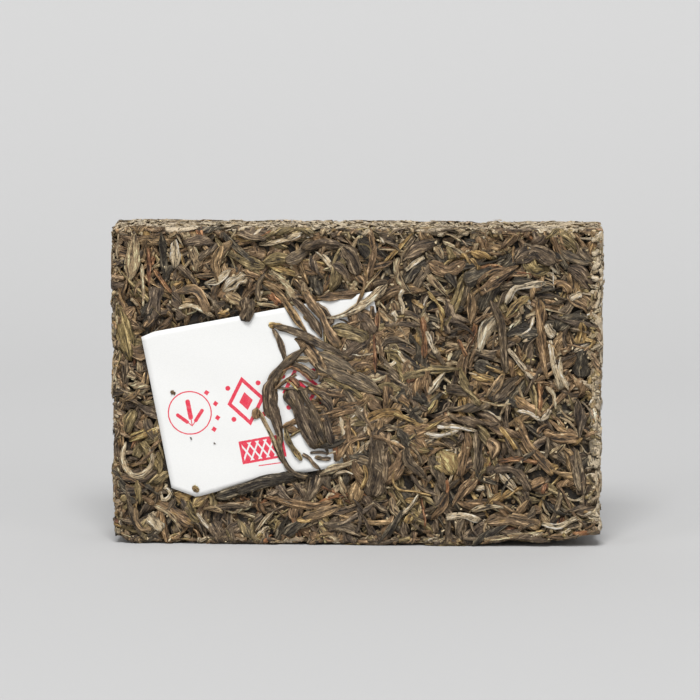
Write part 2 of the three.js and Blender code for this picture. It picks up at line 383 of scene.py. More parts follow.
# What the brick's faces and its narrow sides are made of: finish, form and share
MIX = [
    ("dark", "rolled", 17), ("dark", "blade", 5), ("dark", "chip", 8), ("dark", "thread", 3),
    ("slate", "rolled", 6), ("slate", "blade", 3), ("slate", "chip", 2),
    ("brown", "rolled", 20), ("brown", "blade", 9), ("brown", "chip", 10), ("brown", "stem", 4),
    ("olive", "rolled", 6), ("olive", "blade", 3), ("olive", "chip", 5), ("olive", "thread", 2),
    ("golden", "rolled", 1.5), ("golden", "chip", 3), ("golden", "stem", 1.5),
    ("tan", "rolled", 3), ("tan", "stem", 3), ("tan", "chip", 5), ("tan", "thread", 3),
    ("pale", "bud", 0.6), ("pale", "stem", 0.8), ("pale", "chip", 2), ("pale", "thread", 1.2),
    ("russet", "stem", 1.5), ("russet", "thread", 1), ("russet", "chip", 2),
]
RIM_MIX = [
    ("dark", "chip", 7), ("dark", "rolled", 2),
    ("brown", "chip", 14), ("brown", "rolled", 4), ("brown", "thread", 2),
    ("olive", "chip", 10), ("golden", "chip", 7),
    ("tan", "chip", 26), ("tan", "stem", 5), ("tan", "thread", 4),
    ("pale", "chip", 16), ("pale", "thread", 2), ("russet", "chip", 4),
]

# What every leaf has in common. Thickness and tears are in millimetres, and the other widths are shares.
TALLEST = 0.95
UNEVEN = 0.13
SEAM_WIDTH = 0.42
CREST_GAIN = 1.7
TORN_END = 0.1
TORN = 0.4
TORN_AT_MOST = 1.2
ROLLED_BACK = 0.25
CREASE_WIDTH = 0.16
WAVE_GAIN = 0.8
SETTLE = 0.55
SWAY = 0.3
TURN = 6.3
DRAWN_POINTS = 121
SMOOTHING = 1600
RING_STEP = 1.5

# How leaves lie where they are scattered: how far past a face's edges, how near to them they lie along them,
# the slow streams in their headings, and how often lengths and widths are short or long
PAST_FACE = 3.5
PAST_RIM = 1.5
ALONG_EDGES = 5.0
STREAM = 1.7
STREAM_LENGTHS = (21, 17, 13)
LENGTH_ODDS = (1.5, 2.2)
WIDTH_ODDS = (1.4, 1.9)
BEND_SPREAD = 0.6


def arc_line(form, middle, heading, length, bend, sway, rng):
    """A middle line that starts in a heading and bends evenly, with a little sway."""
    rings = FORMS[form]["rings"]
    t = ring_places(rings, form in BLUNT)
    way = heading + bend * (t - 0.5) + sway * np.sin(2 * np.pi * t + rng.uniform(0, TURN))
    steps = np.diff(t) * length
    mid = (way[1:] + way[:-1]) / 2
    path = np.stack([np.cumsum(steps * np.cos(mid)), np.cumsum(steps * np.sin(mid))], -1)
    path = np.vstack([[0, 0], path])
    return path - path[rings // 2] + np.array(middle)


def run_along(path):
    """How far along a path each of its points lies."""
    return np.concatenate([[0], np.cumsum(np.linalg.norm(np.diff(path, axis=0), axis=1))])


def drawn_line(form, points):
    """A smooth middle line through points, with more rings the longer it is."""
    points = np.array(points, float)
    run = run_along(points)
    fine = np.linspace(0, run[-1], DRAWN_POINTS)
    path = np.stack([np.interp(fine, run, points[:, i]) for i in (0, 1)], -1)
    for _ in range(int(SMOOTHING / len(points) ** 2)):
        path[1:-1] = 0.5 * path[1:-1] + 0.25 * (path[:-2] + path[2:])
    run = run_along(path)
    rings = max(FORMS[form]["rings"], int(run[-1] / RING_STEP) + 4)
    want = ring_places(rings, form in BLUNT) * run[-1]
    return np.stack([np.interp(want, run, path[:, i]) for i in (0, 1)], -1)


@lru_cache(maxsize=None)
def ring_places(rings, blunt):
    """Where the rings lie along a leaf from 0 to 1, closer together at its ends."""
    if blunt:
        return np.concatenate([[0], np.linspace(0.006, 0.994, rings - 2), [1]])
    even = np.linspace(0, 1, rings)
    return 0.45 * even + 0.55 * (1 - np.cos(np.pi * even)) / 2


def leaf_shape(kind, form, line, width, rng, flat=None, twist=None, more_sides=0):
    """A leaf's rings round its middle line, before it is laid down."""
    spec = FORMS[form]
    rings, sides = len(line), spec["sides"] + more_sides
    t = ring_places(rings, form in BLUNT)
    way = np.gradient(line, axis=0)
    way /= np.linalg.norm(way, axis=1, keepdims=True) + 1e-9
    side = np.stack([-way[:, 1], way[:, 0]], -1)
    flat = rng.uniform(*spec["flat"]) if flat is None else flat
    half = width / 2

    # How thick the leaf is along its length, and its ridged section with one seam
    ends = rng.uniform(*spec["taper"], 2)
    shut = np.clip(t / ends[0], 0, 1) * np.clip((1 - t) / ends[1], 0, 1)
    girth = shut**0.6 * (1 + UNEVEN * np.sin(2 * np.pi * t * rng.uniform(0.8, 2.6) + rng.uniform(0, TURN)))
    around = 2 * np.pi * np.arange(sides) / sides
    ridges = sum(rng.uniform(0.4, 1) * np.cos(k * around + rng.uniform(0, TURN)) for k in spec["ridges"])
    seam = np.abs(np.angle(np.exp(1j * (around - rng.uniform(0.6, 2.5)))))
    radial = 1 + spec["ridge"] * ridges - spec["groove"] * np.exp(-((seam / SEAM_WIDTH) ** 2))
    even_x, even_y = np.cos(around) * radial * half, np.sin(around) * radial * half

    # Its crumples, its torn ends and its twist
    wrinkle = rng.normal(0, 1, (rings, sides))
    wrinkle = 0.5 * wrinkle + 0.25 * (np.roll(wrinkle, 1, 0) + np.roll(wrinkle, -1, 0))
    radial = radial * (1 + spec["crumple"] * wrinkle)
    # How far each point stands out of the section, which the finish paints lighter on the crests and darker
    # in the grooves as painted light and shade
    crest = np.clip(0.5 + (radial - radial.mean()) * CREST_GAIN, 0, 1)
    x = np.cos(around) * radial * half
    y = np.sin(around) * radial * half * flat
    at_end = 1 - np.clip(np.minimum(t, 1 - t) / TORN_END, 0, 1)
    slip = rng.normal(0, TORN, sides) * at_end[:, None] * min(half, TORN_AT_MOST)
    turn = twist if twist is not None else rng.uniform(-1, 1) * math.radians(spec["twist"])
    roll = rng.uniform(-ROLLED_BACK, ROLLED_BACK) + turn * (t - 0.5)
    cos, sin = np.cos(roll)[:, None], np.sin(roll)[:, None]
    across = (x * cos - y * sin) * girth[:, None]
    thick = (x * sin + y * cos) * (girth**0.8)[:, None]

    # The crease down its middle and the waves of its edges
    share = across / half
    thick = thick - spec["crease"] * np.exp(-((share / CREASE_WIDTH) ** 2)) * girth[:, None]
    waves = np.sin(2 * np.pi * t * rng.uniform(1.2, 2.8) + rng.uniform(0, TURN))[:, None]
    thick = thick + spec["wave"] * waves * share * WAVE_GAIN
    thick = TALLEST * np.tanh(thick / TALLEST)

    # Where its fibres run, which its finish reads
    offset = rng.uniform(0, 90, 3)
    fibres = (even_x, even_y, run_along(line)[:, None])
    grain = np.stack([np.broadcast_to(run, across.shape) + start for run, start in zip(fibres, offset)], -1)
    return dict(
        kind=kind, line=line, side=side, way=way, slip=slip, across=across, thick=thick, crest=crest, t=t,
        half_width=half * girth, settle=SETTLE * np.abs(thick).max(1), grain=grain,
        tint=(rng.random(), rng.random()),
    )


def scattered(face, rng, count, mix=MIX, width_scale=1.0, pull=None, scale=1.0):
    """Leaves at random places of a face and just past its edges. Near these, half of them lie along them."""
    half = face.half + ((0, PAST_RIM) if face.wraps else PAST_FACE)
    share = np.array([m[2] for m in mix], float)
    chosen = rng.choice(len(mix), count, p=share / share.sum())
    flow = rng.uniform(0, TURN, 4)
    long_u, long_v, long_both = STREAM_LENGTHS
    for number in chosen:
        kind, form, _ = mix[number]
        spec = FORMS[form]
        u, v = rng.uniform(-half[0], half[0]), rng.uniform(-half[1], half[1])
        stream = STREAM * np.sin(u / long_u + flow[0]) + STREAM * np.sin(v / long_v + flow[1])
        heading = stream + np.sin((u - v) / long_both + flow[2]) + rng.normal(0, 0.9)
        to_side, to_end = face.half[0] - abs(u), face.half[1] - abs(v)
        if pull is not None:
            heading = pull + rng.normal(0, 0.8)
        elif min(to_side, to_end) < ALONG_EDGES * rng.random() and rng.random() < 0.5:
            heading = (np.pi / 2 if to_side < to_end else 0) + rng.normal(0, 0.14)
        low, high = spec["length"]
        length = (low + (high - low) * rng.beta(*LENGTH_ODDS)) * scale
        low, high = spec["width"]
        width = (low + (high - low) * rng.beta(*WIDTH_ODDS)) * width_scale
        bend = math.radians(spec["bend"]) * rng.normal(0, BEND_SPREAD)
        line = arc_line(form, (u, v), heading, length, bend, rng.uniform(-SWAY, SWAY), rng)
        yield leaf_shape(kind, form, line, width, rng)


def soft_top(height, most):
    """The height, held smoothly under a most where it is above 0."""
    return np.minimum(height, 0) + most * (1 - np.exp(-np.maximum(height, 0) / most))


def press(bed, leaves, proud, plane=None):
    """Presses a pile flat. Heights become heights over the mould, and gaps stay about as deep as they were.

    A leaf is partly pressed flat point by point and partly pushed down whole, which keeps its own shape.
    """
    level = bed.blurred(bed.height, PILE_SMOOTH)
    level = level + np.quantile(bed.height - level, 1 - SHARE_ABOVE)

    def squeeze(rise):
        return soft_top(np.maximum(rise, 0), proud) - DEEP * (1 - np.exp(np.minimum(rise, 0) / DEEP))

    for leaf in leaves:
        rise = leaf["z"] - bed.read(level, leaf["u"], leaf["v"])
        middle = rise.mean(1, keepdims=True)
        whole = squeeze(middle) + KEPT_SHAPE * (rise - middle)
        h = soft_top(PRESSED_WHOLE * whole + (1 - PRESSED_WHOLE) * squeeze(rise), MOST_OVER_PROUD * proud)
        leaf["h"] = plane(leaf["u"], leaf["v"], h) if plane else h
    bed.mark_pressed(leaves)


def shown(bed, leaves):
    """The leaves that show anywhere on the bed."""
    seen = np.bincount(bed.owner[bed.owner >= 0].ravel(), minlength=len(leaves))
    return [leaf for leaf, cells in zip(leaves, seen) if cells >= LEAST_CELLS]


def lay_all(bed, leaves):
    for number, leaf in enumerate(leaves):
        bed.lay(leaf, number)


# Meshes

# The margin round each leaf in its own cell of the map, over the cell's size
UV_GAP = 0.06


def mesh_object(name, points, corners, sizes, material, floats=(), vectors=(), uv=None):
    """A mesh piece from points in millimetres, and faces as one run of corners with each face's size."""
    mesh = bpy.data.meshes.new(name)
    mesh.vertices.add(len(points))
    mesh.vertices.foreach_set("co", (np.asarray(points) * MM).astype(np.float32).ravel())
    mesh.loops.add(len(corners))
    mesh.loops.foreach_set("vertex_index", np.asarray(corners, np.int32))
    mesh.polygons.add(len(sizes))
    starts = np.concatenate([[0], np.cumsum(sizes)[:-1]]).astype(np.int32)
    mesh.polygons.foreach_set("loop_start", starts)
    mesh.polygons.foreach_set("use_smooth", np.ones(len(sizes), bool))
    for key, values in floats:
        attribute = mesh.attributes.new(key, "FLOAT", "POINT")
        attribute.data.foreach_set("value", np.asarray(values, np.float32).ravel())
    for key, values in vectors:
        attribute = mesh.attributes.new(key, "FLOAT_VECTOR", "POINT")
        attribute.data.foreach_set("vector", np.asarray(values, np.float32).ravel())
    if uv is not None:
        layer = mesh.uv_layers.new(name="OFBake")
        layer.data.foreach_set("uv", np.asarray(uv, np.float32).ravel())
    mesh.materials.append(material)
    mesh.update(calc_edges=True)
    mesh.validate()
    piece = bpy.data.objects.new(name, mesh)
    bpy.context.scene.collection.objects.link(piece)
    return piece


def quads_of(grid):
    """The faces between the points of a grid."""
    return np.stack([grid[:-1, :-1], grid[1:, :-1], grid[1:, 1:], grid[:-1, 1:]], -1).reshape(-1, 4)


@lru_cache(maxsize=None)
def tube_faces(rings, sides):
    """The faces of a closed tube of rings whose first and last ring are drawn in to a point each."""
    corners, sizes, places = [], [], []
    inner = rings - 2
    first_pole, last_pole = inner * sides, inner * sides + 1
    end = (inner - 1) * sides
    for j in range(sides):
        k = (j + 1) % sides
        left, middle, right = j / sides, (j + 0.5) / sides, (j + 1) / sides
        corners += [first_pole, k, j]
        places += [(0, middle), (1, right), (1, left)]
        sizes.append(3)
        for i in range(inner - 1):
            a, b = i * sides, (i + 1) * sides
            corners += [a + j, a + k, b + k, b + j]
            places += [(i + 1, left), (i + 1, right), (i + 2, right), (i + 2, left)]
            sizes.append(4)
        corners += [end + j, end + k, last_pole]
        places += [(rings - 2, left), (rings - 2, right), (rings - 1, middle)]
        sizes.append(3)
    places = np.array(places, float)
    places[:, 0] /= rings - 1
    return np.array(corners), np.array(sizes), places


def closed_rings(values):
    """Values on a leaf's rings as values on its points: the inner rings, then its two tips."""
    inner = values[1:-1].reshape(-1, *values.shape[2:])
    return np.concatenate([inner, values[:1].mean(1), values[-1:].mean(1)])


def leaf_piece(name, leaves, material):
    """One mesh of many leaves. leaves are pairs of a face and a leaf that is pressed on it."""
    across = math.ceil(math.sqrt(len(leaves)))
    cell = 1 / across
    points, corners, sizes, grain, tint, crest, uv = [], [], [], [], [], [], []
    start = 0
    for number, (face, leaf) in enumerate(leaves):
        place = face.place(leaf["u"], leaf["v"], leaf["h"])
        place[..., 2] = np.maximum(place[..., 2], FLOOR_GAP)
        own = closed_rings(place)
        run, size, places = tube_faces(*leaf["u"].shape)
        points.append(own)
        corners.append(run + start)
        sizes.append(size)
        start += len(own)
        grain.append(closed_rings(leaf["grain"]))
        along = closed_rings(np.repeat(leaf["t"][:, None], leaf["u"].shape[1], 1)[..., None])
        tint.append(np.hstack([np.full((len(own), 2), leaf["tint"]), along]))
        crest.append(closed_rings(leaf["crest"][..., None])[:, 0])
        corner = np.array([number % across, number // across]) * cell
        uv.append(corner + cell * (UV_GAP + (1 - 2 * UV_GAP) * places))
    return mesh_object(
        name,
        np.concatenate(points),
        np.concatenate(corners),
        np.concatenate(sizes),
        material,
        floats=[("crest", np.concatenate(crest))],
        vectors=[("grain", np.concatenate(grain)), ("tint", np.concatenate(tint))],
        uv=np.concatenate(uv),
    )


# Shaders


class Value:
    """A socket of a shader. Sums on it add their own nodes."""

    def __init__(self, finish, socket):
        self.finish = finish
        self.socket = socket

    def __add__(self, other):
        return self.finish.math("ADD", self, other)

    def __sub__(self, other):
        return self.finish.math("SUBTRACT", self, other)

    def __mul__(self, other):
        return self.finish.math("MULTIPLY", self, other)

    def __rsub__(self, other):
        return self.finish.math("SUBTRACT", other, self)

    def __neg__(self):
        return self.finish.math("MULTIPLY", self, -1.0)

    __radd__ = __add__

    def min(self, other):
        return self.finish.math("MINIMUM", self, other)

    def max(self, other):
        return self.finish.math("MAXIMUM", self, other)

    def abs(self):
        return self.finish.math("ABSOLUTE", self)

    def sqrt(self):
        return self.finish.math("SQRT", self)

    def step(self, low, high):
        """0 below low, 1 above high, and smooth between."""
        node = self.finish.node(
            "ShaderNodeMapRange",
            {"interpolation_type": "SMOOTHSTEP"},
            {"Value": self, "From Min": low, "From Max": high},
        )
        return Value(self.finish, node.outputs["Result"])


class Finish:
    """A material and the ways to add nodes to it."""

    def __init__(self, name):
        self.material = bpy.data.materials.new(name)
        self.material.use_nodes = True
        self.tree = self.material.node_tree
        self.tree.nodes.clear()
        self.surface = self.node("ShaderNodeBsdfPrincipled")
        out = self.node("ShaderNodeOutputMaterial")
        self.tree.links.new(self.surface.outputs["BSDF"], out.inputs["Surface"])

    def cover(self, base, roughness, normal=None, specular=0.5):
        """Gives the surface its colour, its roughness, its bumps and how strongly it reflects."""
        inputs = self.surface.inputs
        self.feed(inputs["Base Color"], base)
        self.feed(inputs["Roughness"], roughness)
        inputs["Specular IOR Level"].default_value = specular
        if normal is not None:
            self.feed(inputs["Normal"], normal)
        return self.material

    def node(self, kind, settings=None, values=None):
        """A node with its settings, and then the values or links of its sockets."""
        node = self.tree.nodes.new(kind)
        for key, value in (settings or {}).items():
            if key == "stops":
                self.set_stops(node.color_ramp, value)
            else:
                setattr(node, key, value)
        for key, value in (values or {}).items():
            self.feed(node.inputs[key], value)
        return node

    def feed(self, socket, value):
        if isinstance(value, Value):
            value = value.socket
        if isinstance(value, bpy.types.NodeSocket):
            self.tree.links.new(value, socket)
        else:
            socket.default_value = value

    @staticmethod
    def set_stops(ramp, stops):
        while len(ramp.elements) < len(stops):
            ramp.elements.new(1.0)
        for element, (place, shade) in zip(ramp.elements, stops):
            element.position = place
            element.color = shade

    def math(self, operation, a, b=0.0):
        node = self.node("ShaderNodeMath", {"operation": operation}, {0: a, 1: b})
        return Value(self, node.outputs[0])

    def attribute(self, name, output="Vector"):
        return self.node("ShaderNodeAttribute", {"attribute_name": name}).outputs[output]

    def place(self):
        return self.node("ShaderNodeTexCoord").outputs["Object"]

    def parts(self, vector):
        node = self.node("ShaderNodeSeparateXYZ", values={0: vector})
        return [Value(self, output) for output in node.outputs]

    def stretched(self, vector, by):
        node = self.node("ShaderNodeVectorMath", {"operation": "MULTIPLY"}, {0: vector, 1: by})
        return node.outputs[0]

    def noise(self, vector, scale, detail=3.0, rough=0.55, warp=0.0):
        values = {"Vector": vector, "Scale": scale, "Detail": detail, "Roughness": rough}
        node = self.node("ShaderNodeTexNoise", values={**values, "Distortion": warp})
        return Value(self, node.outputs[0])

    def ramp(self, factor, stops):
        return self.node("ShaderNodeValToRGB", {"stops": stops}, {"Fac": factor}).outputs["Color"]

    def mix(self, factor, a, b):
        node = self.node("ShaderNodeMix", {"data_type": "RGBA"}, {0: factor, 6: a, 7: b})
        return node.outputs[2]

    def bump(self, height, distance, strength, normal=None):
        values = {"Height": height, "Distance": distance, "Strength": strength}
        if normal is not None:
            values["Normal"] = normal
        return self.node("ShaderNodeBump", values=values).outputs["Normal"]


def colour(red, green, blue, by=1.0):
    """A colour as a screen shows it, from 0 to 255, as light. by makes it lighter or darker."""
    screen = [c / 255 for c in (red, green, blue)]
    light = [c / 12.92 if c <= 0.04045 else ((c + 0.055) / 1.055) ** 2.4 for c in screen]
    return (*(min(c * by, 1.0) for c in light), 1.0)


def even_stops(shades, by=1.0):
    return [(i / (len(shades) - 1), colour(*shade, by=by)) for i, shade in enumerate(shades)]


# The finishes of the leaves: shades across the leaves of a kind, the shade of its tips, and its roughness
LEAF_FINISHES = {
    "dark": ([(88, 74, 60), (109, 90, 70), (96, 80, 61), (118, 101, 79)], (150, 125, 85), 0.58),
    "slate": ([(66, 58, 46), (79, 70, 56), (60, 53, 42), (89, 79, 62)], (124, 106, 78), 0.56),
    "brown": ([(127, 101, 73), (140, 110, 76), (119, 95, 70), (148, 120, 83)], (167, 133, 79), 0.6),
    "olive": ([(119, 103, 70), (134, 115, 76), (123, 106, 74), (140, 120, 76)], (167, 141, 83), 0.58),
    "golden": ([(154, 121, 72), (167, 135, 84), (144, 112, 65), (176, 147, 98)], (194, 166, 112), 0.56),
    "tan": ([(170, 143, 108), (187, 161, 125), (162, 135, 99), (197, 173, 138)], (209, 186, 148), 0.62),
    "pale": ([(206, 182, 145), (222, 200, 163), (195, 169, 131), (219, 199, 167)], (237, 218, 183), 0.64),
    "russet": ([(136, 93, 64), (148, 99, 60), (125, 85, 60), (155, 111, 72)], (167, 127, 79), 0.56),
}

# How light the grooves, the body and the ridges of a leaf are beside its shade, as painted shade in the
# grooves and painted highlights on the ridges, and what they are mixed with: a warm painted shade and a pale
# painted sheen
GROOVE_SHADE = 0.055
BODY = 0.9
RIDGE_HIGHLIGHT = 3.3
WARM_GROOVE_SHADE = (38, 26, 16)
RIDGE_SHEEN = (196, 179, 148)
SHEEN_SHARE = 0.35
# The rim's dust and how much of it shows; on the brick's top the same pale colour is also painted light from
# above
DUST_AND_TOP_LIGHT = (226, 208, 178)
DUST_AND_LIGHT_SHARE = 0.75

# The patterns of a leaf, as how many to a millimetre across it and along it, and how deep their bumps are
STRANDS = (1.1, 1.1, 0.13)
FIBRES = (2.5, 2.5, 0.3)
HAIRS = (6.0, 6.0, 0.5)
PATCHES = (0.5, 0.5, 0.3)
CRUMPLES = (0.9, 0.9, 0.6)
STRAND_BUMP, CRUMPLE_BUMP, HAIR_BUMP = 0.46 * MM, 0.9 * MM, 0.22 * MM


def leaf_finish(name, shades, tip, rough):
    """Dry leaf: strands and many fibres that run along it, dark in the grooves with painted shade and pale on
    the ridges with painted highlights and sheen.
    """
    look = Finish(name)
    grain = look.attribute("grain")
    one, two, along = look.parts(look.attribute("tint"))
    crest = Value(look, look.attribute("crest", "Fac"))
    strand = look.noise(look.stretched(grain, STRANDS), 1.0, 1.0, 0.5, 0.5).step(0.36, 0.62)
    fibre = look.noise(look.stretched(grain, FIBRES), 1.0, 3.0, 0.6, 0.5).step(0.34, 0.66)
    hairs = look.noise(look.stretched(grain, HAIRS), 1.0, 3.0, 0.6)
    patch = look.noise(look.stretched(grain, PATCHES), 1.0, 3.0, 0.6)
    crumple = look.noise(look.stretched(grain, CRUMPLES), 1.0, 2.0, 0.5)

    # From the grooves at 0 to the ridges at 1: the fibres' own tone, with painted light and shade from the
    # leaf's crests and crumples
    lit = strand * 0.36 + fibre * 0.44 + crest * 0.42 - 0.14 + (hairs - 0.5) * 1.25 + (patch - 0.5) * 0.6
    lit = lit + (crumple - 0.5) * 0.8
    # Shaded, plain and lit copies of the leaf's shades: painted shade for the grooves, painted highlights for
    # the ridges
    groove, body, lit_ridge = (look.ramp(one, even_stops(shades, by)) for by in (GROOVE_SHADE, BODY, RIDGE_HIGHLIGHT))
    ridge = look.mix(SHEEN_SHARE, lit_ridge, colour(*RIDGE_SHEEN))
    shade = look.mix(lit.step(0.04, 0.46), look.mix(0.5, groove, colour(*WARM_GROOVE_SHADE)), body)
    shade = look.mix(lit.step(0.58, 0.96), shade, ridge)

    # Some leaves are worn bare at their tips and in patches, and those of the rim are dusty, which on the top
    # also stands in for the light from above as painted light
    at_tip = (along - 0.5).abs().step(0.38, 0.5) * two.step(0.5, 0.8)
    worn_patch = patch.step(0.52, 0.72) * two.step(0.25, 0.8) * 0.7
    # The bare colour also has a shaded and a lit copy, as painted shade and highlight
    bare = look.mix(lit.step(0.1, 0.9), colour(*tip, by=0.25), colour(*tip, by=1.2))
    shade = look.mix((at_tip * 0.6 + worn_patch).min(0.8), shade, bare)
    base = look.mix(two.step(0.8, 1.8) * DUST_AND_LIGHT_SHARE, shade, colour(*DUST_AND_TOP_LIGHT))

    roughness = hairs * 0.3 + (rough - 0.22)
    raised = look.bump(strand * 0.5 + fibre * 0.5, STRAND_BUMP, 0.9)
    raised = look.bump(crumple, CRUMPLE_BUMP, 0.7, raised)
    return look.cover(base, roughness, look.bump(hairs, HAIR_BUMP, 0.8, raised), specular=0.38)


def core_finish():
    """The inside that shows between the leaves: broken leaf, pressed into a mass, and painted near black as
    the shade in the gaps.
    """
    look = Finish("tea_core")
    place = look.place()
    broken = look.noise(place, 900.0, 5.0, 0.65)
    strands = look.noise(look.stretched(place, (1.0, 1.0, 2.4)), 420.0, 4.0, 0.6, 0.8)
    # Near black, as painted shade in the gaps between the leaves
    shades = [(18, 15, 12), (32, 27, 21), (56, 47, 35), (86, 73, 54)]
    base = look.ramp((broken * 0.6 + strands * 0.5).step(0.3, 0.85), even_stops(shades))
    return look.cover(base, 0.85, look.bump(broken + strands, 0.7 * MM, 1.0))


def crumb_finish():
    """Crumbs of every kind of leaf in the brick."""
    look = Finish("tea_crumbs")
    one = Value(look, look.attribute("crumb", "Fac"))
    fleck = look.noise(look.place(), 2200.0, 3.0, 0.6)
    shades = [(84, 70, 54), (120, 101, 76), (146, 125, 94), (160, 141, 100), (190, 167, 128), (222, 202, 164)]
    dark, light = (look.ramp(one, even_stops(shades, by)) for by in (0.4, 1.1))
    base = look.mix(fleck.step(0.35, 0.65), dark, light)
    return look.cover(base, 0.7, look.bump(fleck, 0.2 * MM, 0.7))


# The print: plain marks in one red, each a distance in millimetres on the ticket


def disc(x, y, at, radius):
    dx, dy = x - at[0], y - at[1]
    return (dx * dx + dy * dy).sqrt() - radius


def bar(x, y, start, end, radius):
    """A stroke with round ends."""
    way = (end[0] - start[0], end[1] - start[1])
    long = way[0] ** 2 + way[1] ** 2
    dx, dy = x - start[0], y - start[1]
    t = ((dx * way[0] + dy * way[1]) * (1 / long)).max(0.0).min(1.0)
    ex, ey = dx - t * way[0], dy - t * way[1]
    return (ex * ex + ey * ey).sqrt() - radius


def lozenge(x, y, at, wide, tall):
    dx, dy = (x - at[0]).abs(), (y - at[1]).abs()
    slope = math.hypot(1 / wide, 1 / tall)
    return (dx * (1 / wide) + dy * (1 / tall) - 1.0) * (1 / slope)


def block(x, y, at, wide, tall):
    return ((x - at[0]).abs() - wide).max((y - at[1]).abs() - tall)


# Each mark's own sizes: lines and dots in millimetres, the other lengths over the mark's size. A bud has its
# lean in radians, its length and its half width.
RING_LINE = 0.2
BUDS = [(-0.75, 0.85, 0.55), (0.0, 1.15, 0.7), (0.75, 0.85, 0.55)]
SPRAY_FOOT = 0.62
STALK = 0.35
STALK_LINE = 0.16
LOZENGE_LINE = 0.55
INNER_LOZENGE = 0.42
DOT = 0.75
DOTS_OUT, DOTS_UP = 0.92, 0.72
LATTICE_STEP = 2.4
LATTICE_SLANT = 2.0
LATTICE_LINE = 0.24
STAMP_RIM = 0.75


def ring_mark(x, y, at, radius):
    """A ring round a small spray of three buds."""
    mark = disc(x, y, at, radius).abs() - RING_LINE
    foot = (at[0], at[1] - SPRAY_FOOT * radius)
    for lean, reach, thick in BUDS:
        tip = (foot[0] + math.sin(lean) * reach * radius, foot[1] + math.cos(lean) * reach * radius)
        start = (foot[0] + STALK * (tip[0] - foot[0]), foot[1] + STALK * (tip[1] - foot[1]))
        mark = mark.min(bar(x, y, start, tip, thick)).min(bar(x, y, foot, start, STALK_LINE))
    return mark


def lozenge_mark(x, y, at, wide, tall):
    """A bold lozenge with a smaller one in it and two dots on each side."""
    mark = lozenge(x, y, at, wide, tall).abs() - LOZENGE_LINE
    mark = mark.min(lozenge(x, y, at, INNER_LOZENGE * wide, INNER_LOZENGE * tall))
    for side in (-1, 1):
        for up in (1, -1):
            dot = (at[0] + side * DOTS_OUT * wide, at[1] + up * DOTS_UP * tall)
            mark = mark.min(disc(x, y, dot, DOT))
    return mark


def stamp_mark(x, y, at, wide, tall):
    """A red block with a lattice of pale lines."""
    lines = block(x, y, at, wide - STAMP_RIM, tall - STAMP_RIM)
    strokes = None
    for k in range(-2, 3):
        for slant in (-LATTICE_SLANT, LATTICE_SLANT):
            middle = at[0] + LATTICE_STEP * k
            stroke = bar(x, y, (middle + slant, at[1] - tall), (middle - slant, at[1] + tall), LATTICE_LINE)
            strokes = stroke if strokes is None else strokes.min(stroke)
    return block(x, y, at, wide, tall).max(-strokes.max(lines))


# What is printed where, across and up from the ticket's middle
RING = {"at": (-25.3, -0.25), "radius": 6.4}
DOTS_AT = [(-19.2, 4.8), (-17.2, 1.1), (-17.4, -3.2), (-19.1, -6.4)]
SMALL_LOZENGE = 0.9
LOZENGES_AT = [(-8.1, 0.2), (8.7, 0.8)]
LOZENGE = {"wide": 5.0, "tall": 6.6}
STAMP = {"at": (-6.0, -14.9), "wide": 6.7, "tall": 3.5}
RULE = {"start": (-8.0, -19.65), "end": (-1.6, -19.9), "radius": 0.17}
INK = (220, 36, 68)
INK_WOBBLE = 0.22
PAPER_WHITE = (233, 233, 231)
# Where the leaves bury the ticket, the paper seen between them is painted dark brown as their shade
SHADED_UNDER_LEAVES = {"at": (31.5, -6.0), "across": 15.0, "up": 17.0}
GAP_SHADE = (74, 61, 47)


def ticket_finish():
    """Thin white paper with one red printed on it, a little uneven in the ink."""
    look = Finish("ticket_paper")
    sheet = look.attribute("sheet")
    x, y, front = look.parts(sheet)
    x = x + (look.noise(sheet, 1.3, 3.0) - 0.5) * INK_WOBBLE
    y = y + (look.noise(look.stretched(sheet, (1.0, 1.0, 9.0)), 1.7, 3.0) - 0.5) * INK_WOBBLE
    mark = ring_mark(x, y, **RING)
    for at in DOTS_AT:
        mark = mark.min(lozenge(x, y, at, SMALL_LOZENGE, SMALL_LOZENGE))
    for at in LOZENGES_AT:
        mark = mark.min(lozenge_mark(x, y, at, **LOZENGE))
    mark = mark.min(stamp_mark(x, y, **STAMP))
    mark = mark.min(bar(x, y, **RULE))
    spread = look.noise(sheet, 5.0, 3.0) * 0.7 + look.noise(sheet, 0.9, 2.0) * 0.3
    cover = (-mark).step(-0.07, 0.09) * front * (0.82 + spread.step(0.3, 0.6) * 0.18)
    fibres = look.noise(look.stretched(sheet, (1.0, 2.6, 1.0)), 2.4, 4.0, 0.6)
    white = look.mix(fibres.step(0.3, 0.7), colour(*PAPER_WHITE, by=0.955), colour(*PAPER_WHITE))
    # Painted shade: darkens the paper under the leaves towards the colour of the gaps
    across = (x - SHADED_UNDER_LEAVES["at"][0]) * (1 / SHADED_UNDER_LEAVES["across"])
    up = (y - SHADED_UNDER_LEAVES["at"][1]) * (1 / SHADED_UNDER_LEAVES["up"])
    recoloured = 1 - (across * across + up * up).step(0.7, 1.2)
    base = look.mix(recoloured, look.mix(cover, white, colour(*INK)), colour(*GAP_SHADE))
    return look.cover(base, 0.62, look.bump(fibres, 0.06 * MM, 0.5), specular=0.3)


# The ticket

# How many points it has along and up
SHEET_GRID = (44, 34)
# Where the front, the back and the edge of the sheet lie on its map, as size and lower corner
FRONT_MAP = ((0.98, 0.72), (0.01, 0.27))
BACK_MAP = ((0.3, 0.22), (0.01, 0.02))
EDGE_MAP = ((0.2, 0.2), (0.4, 0.02))


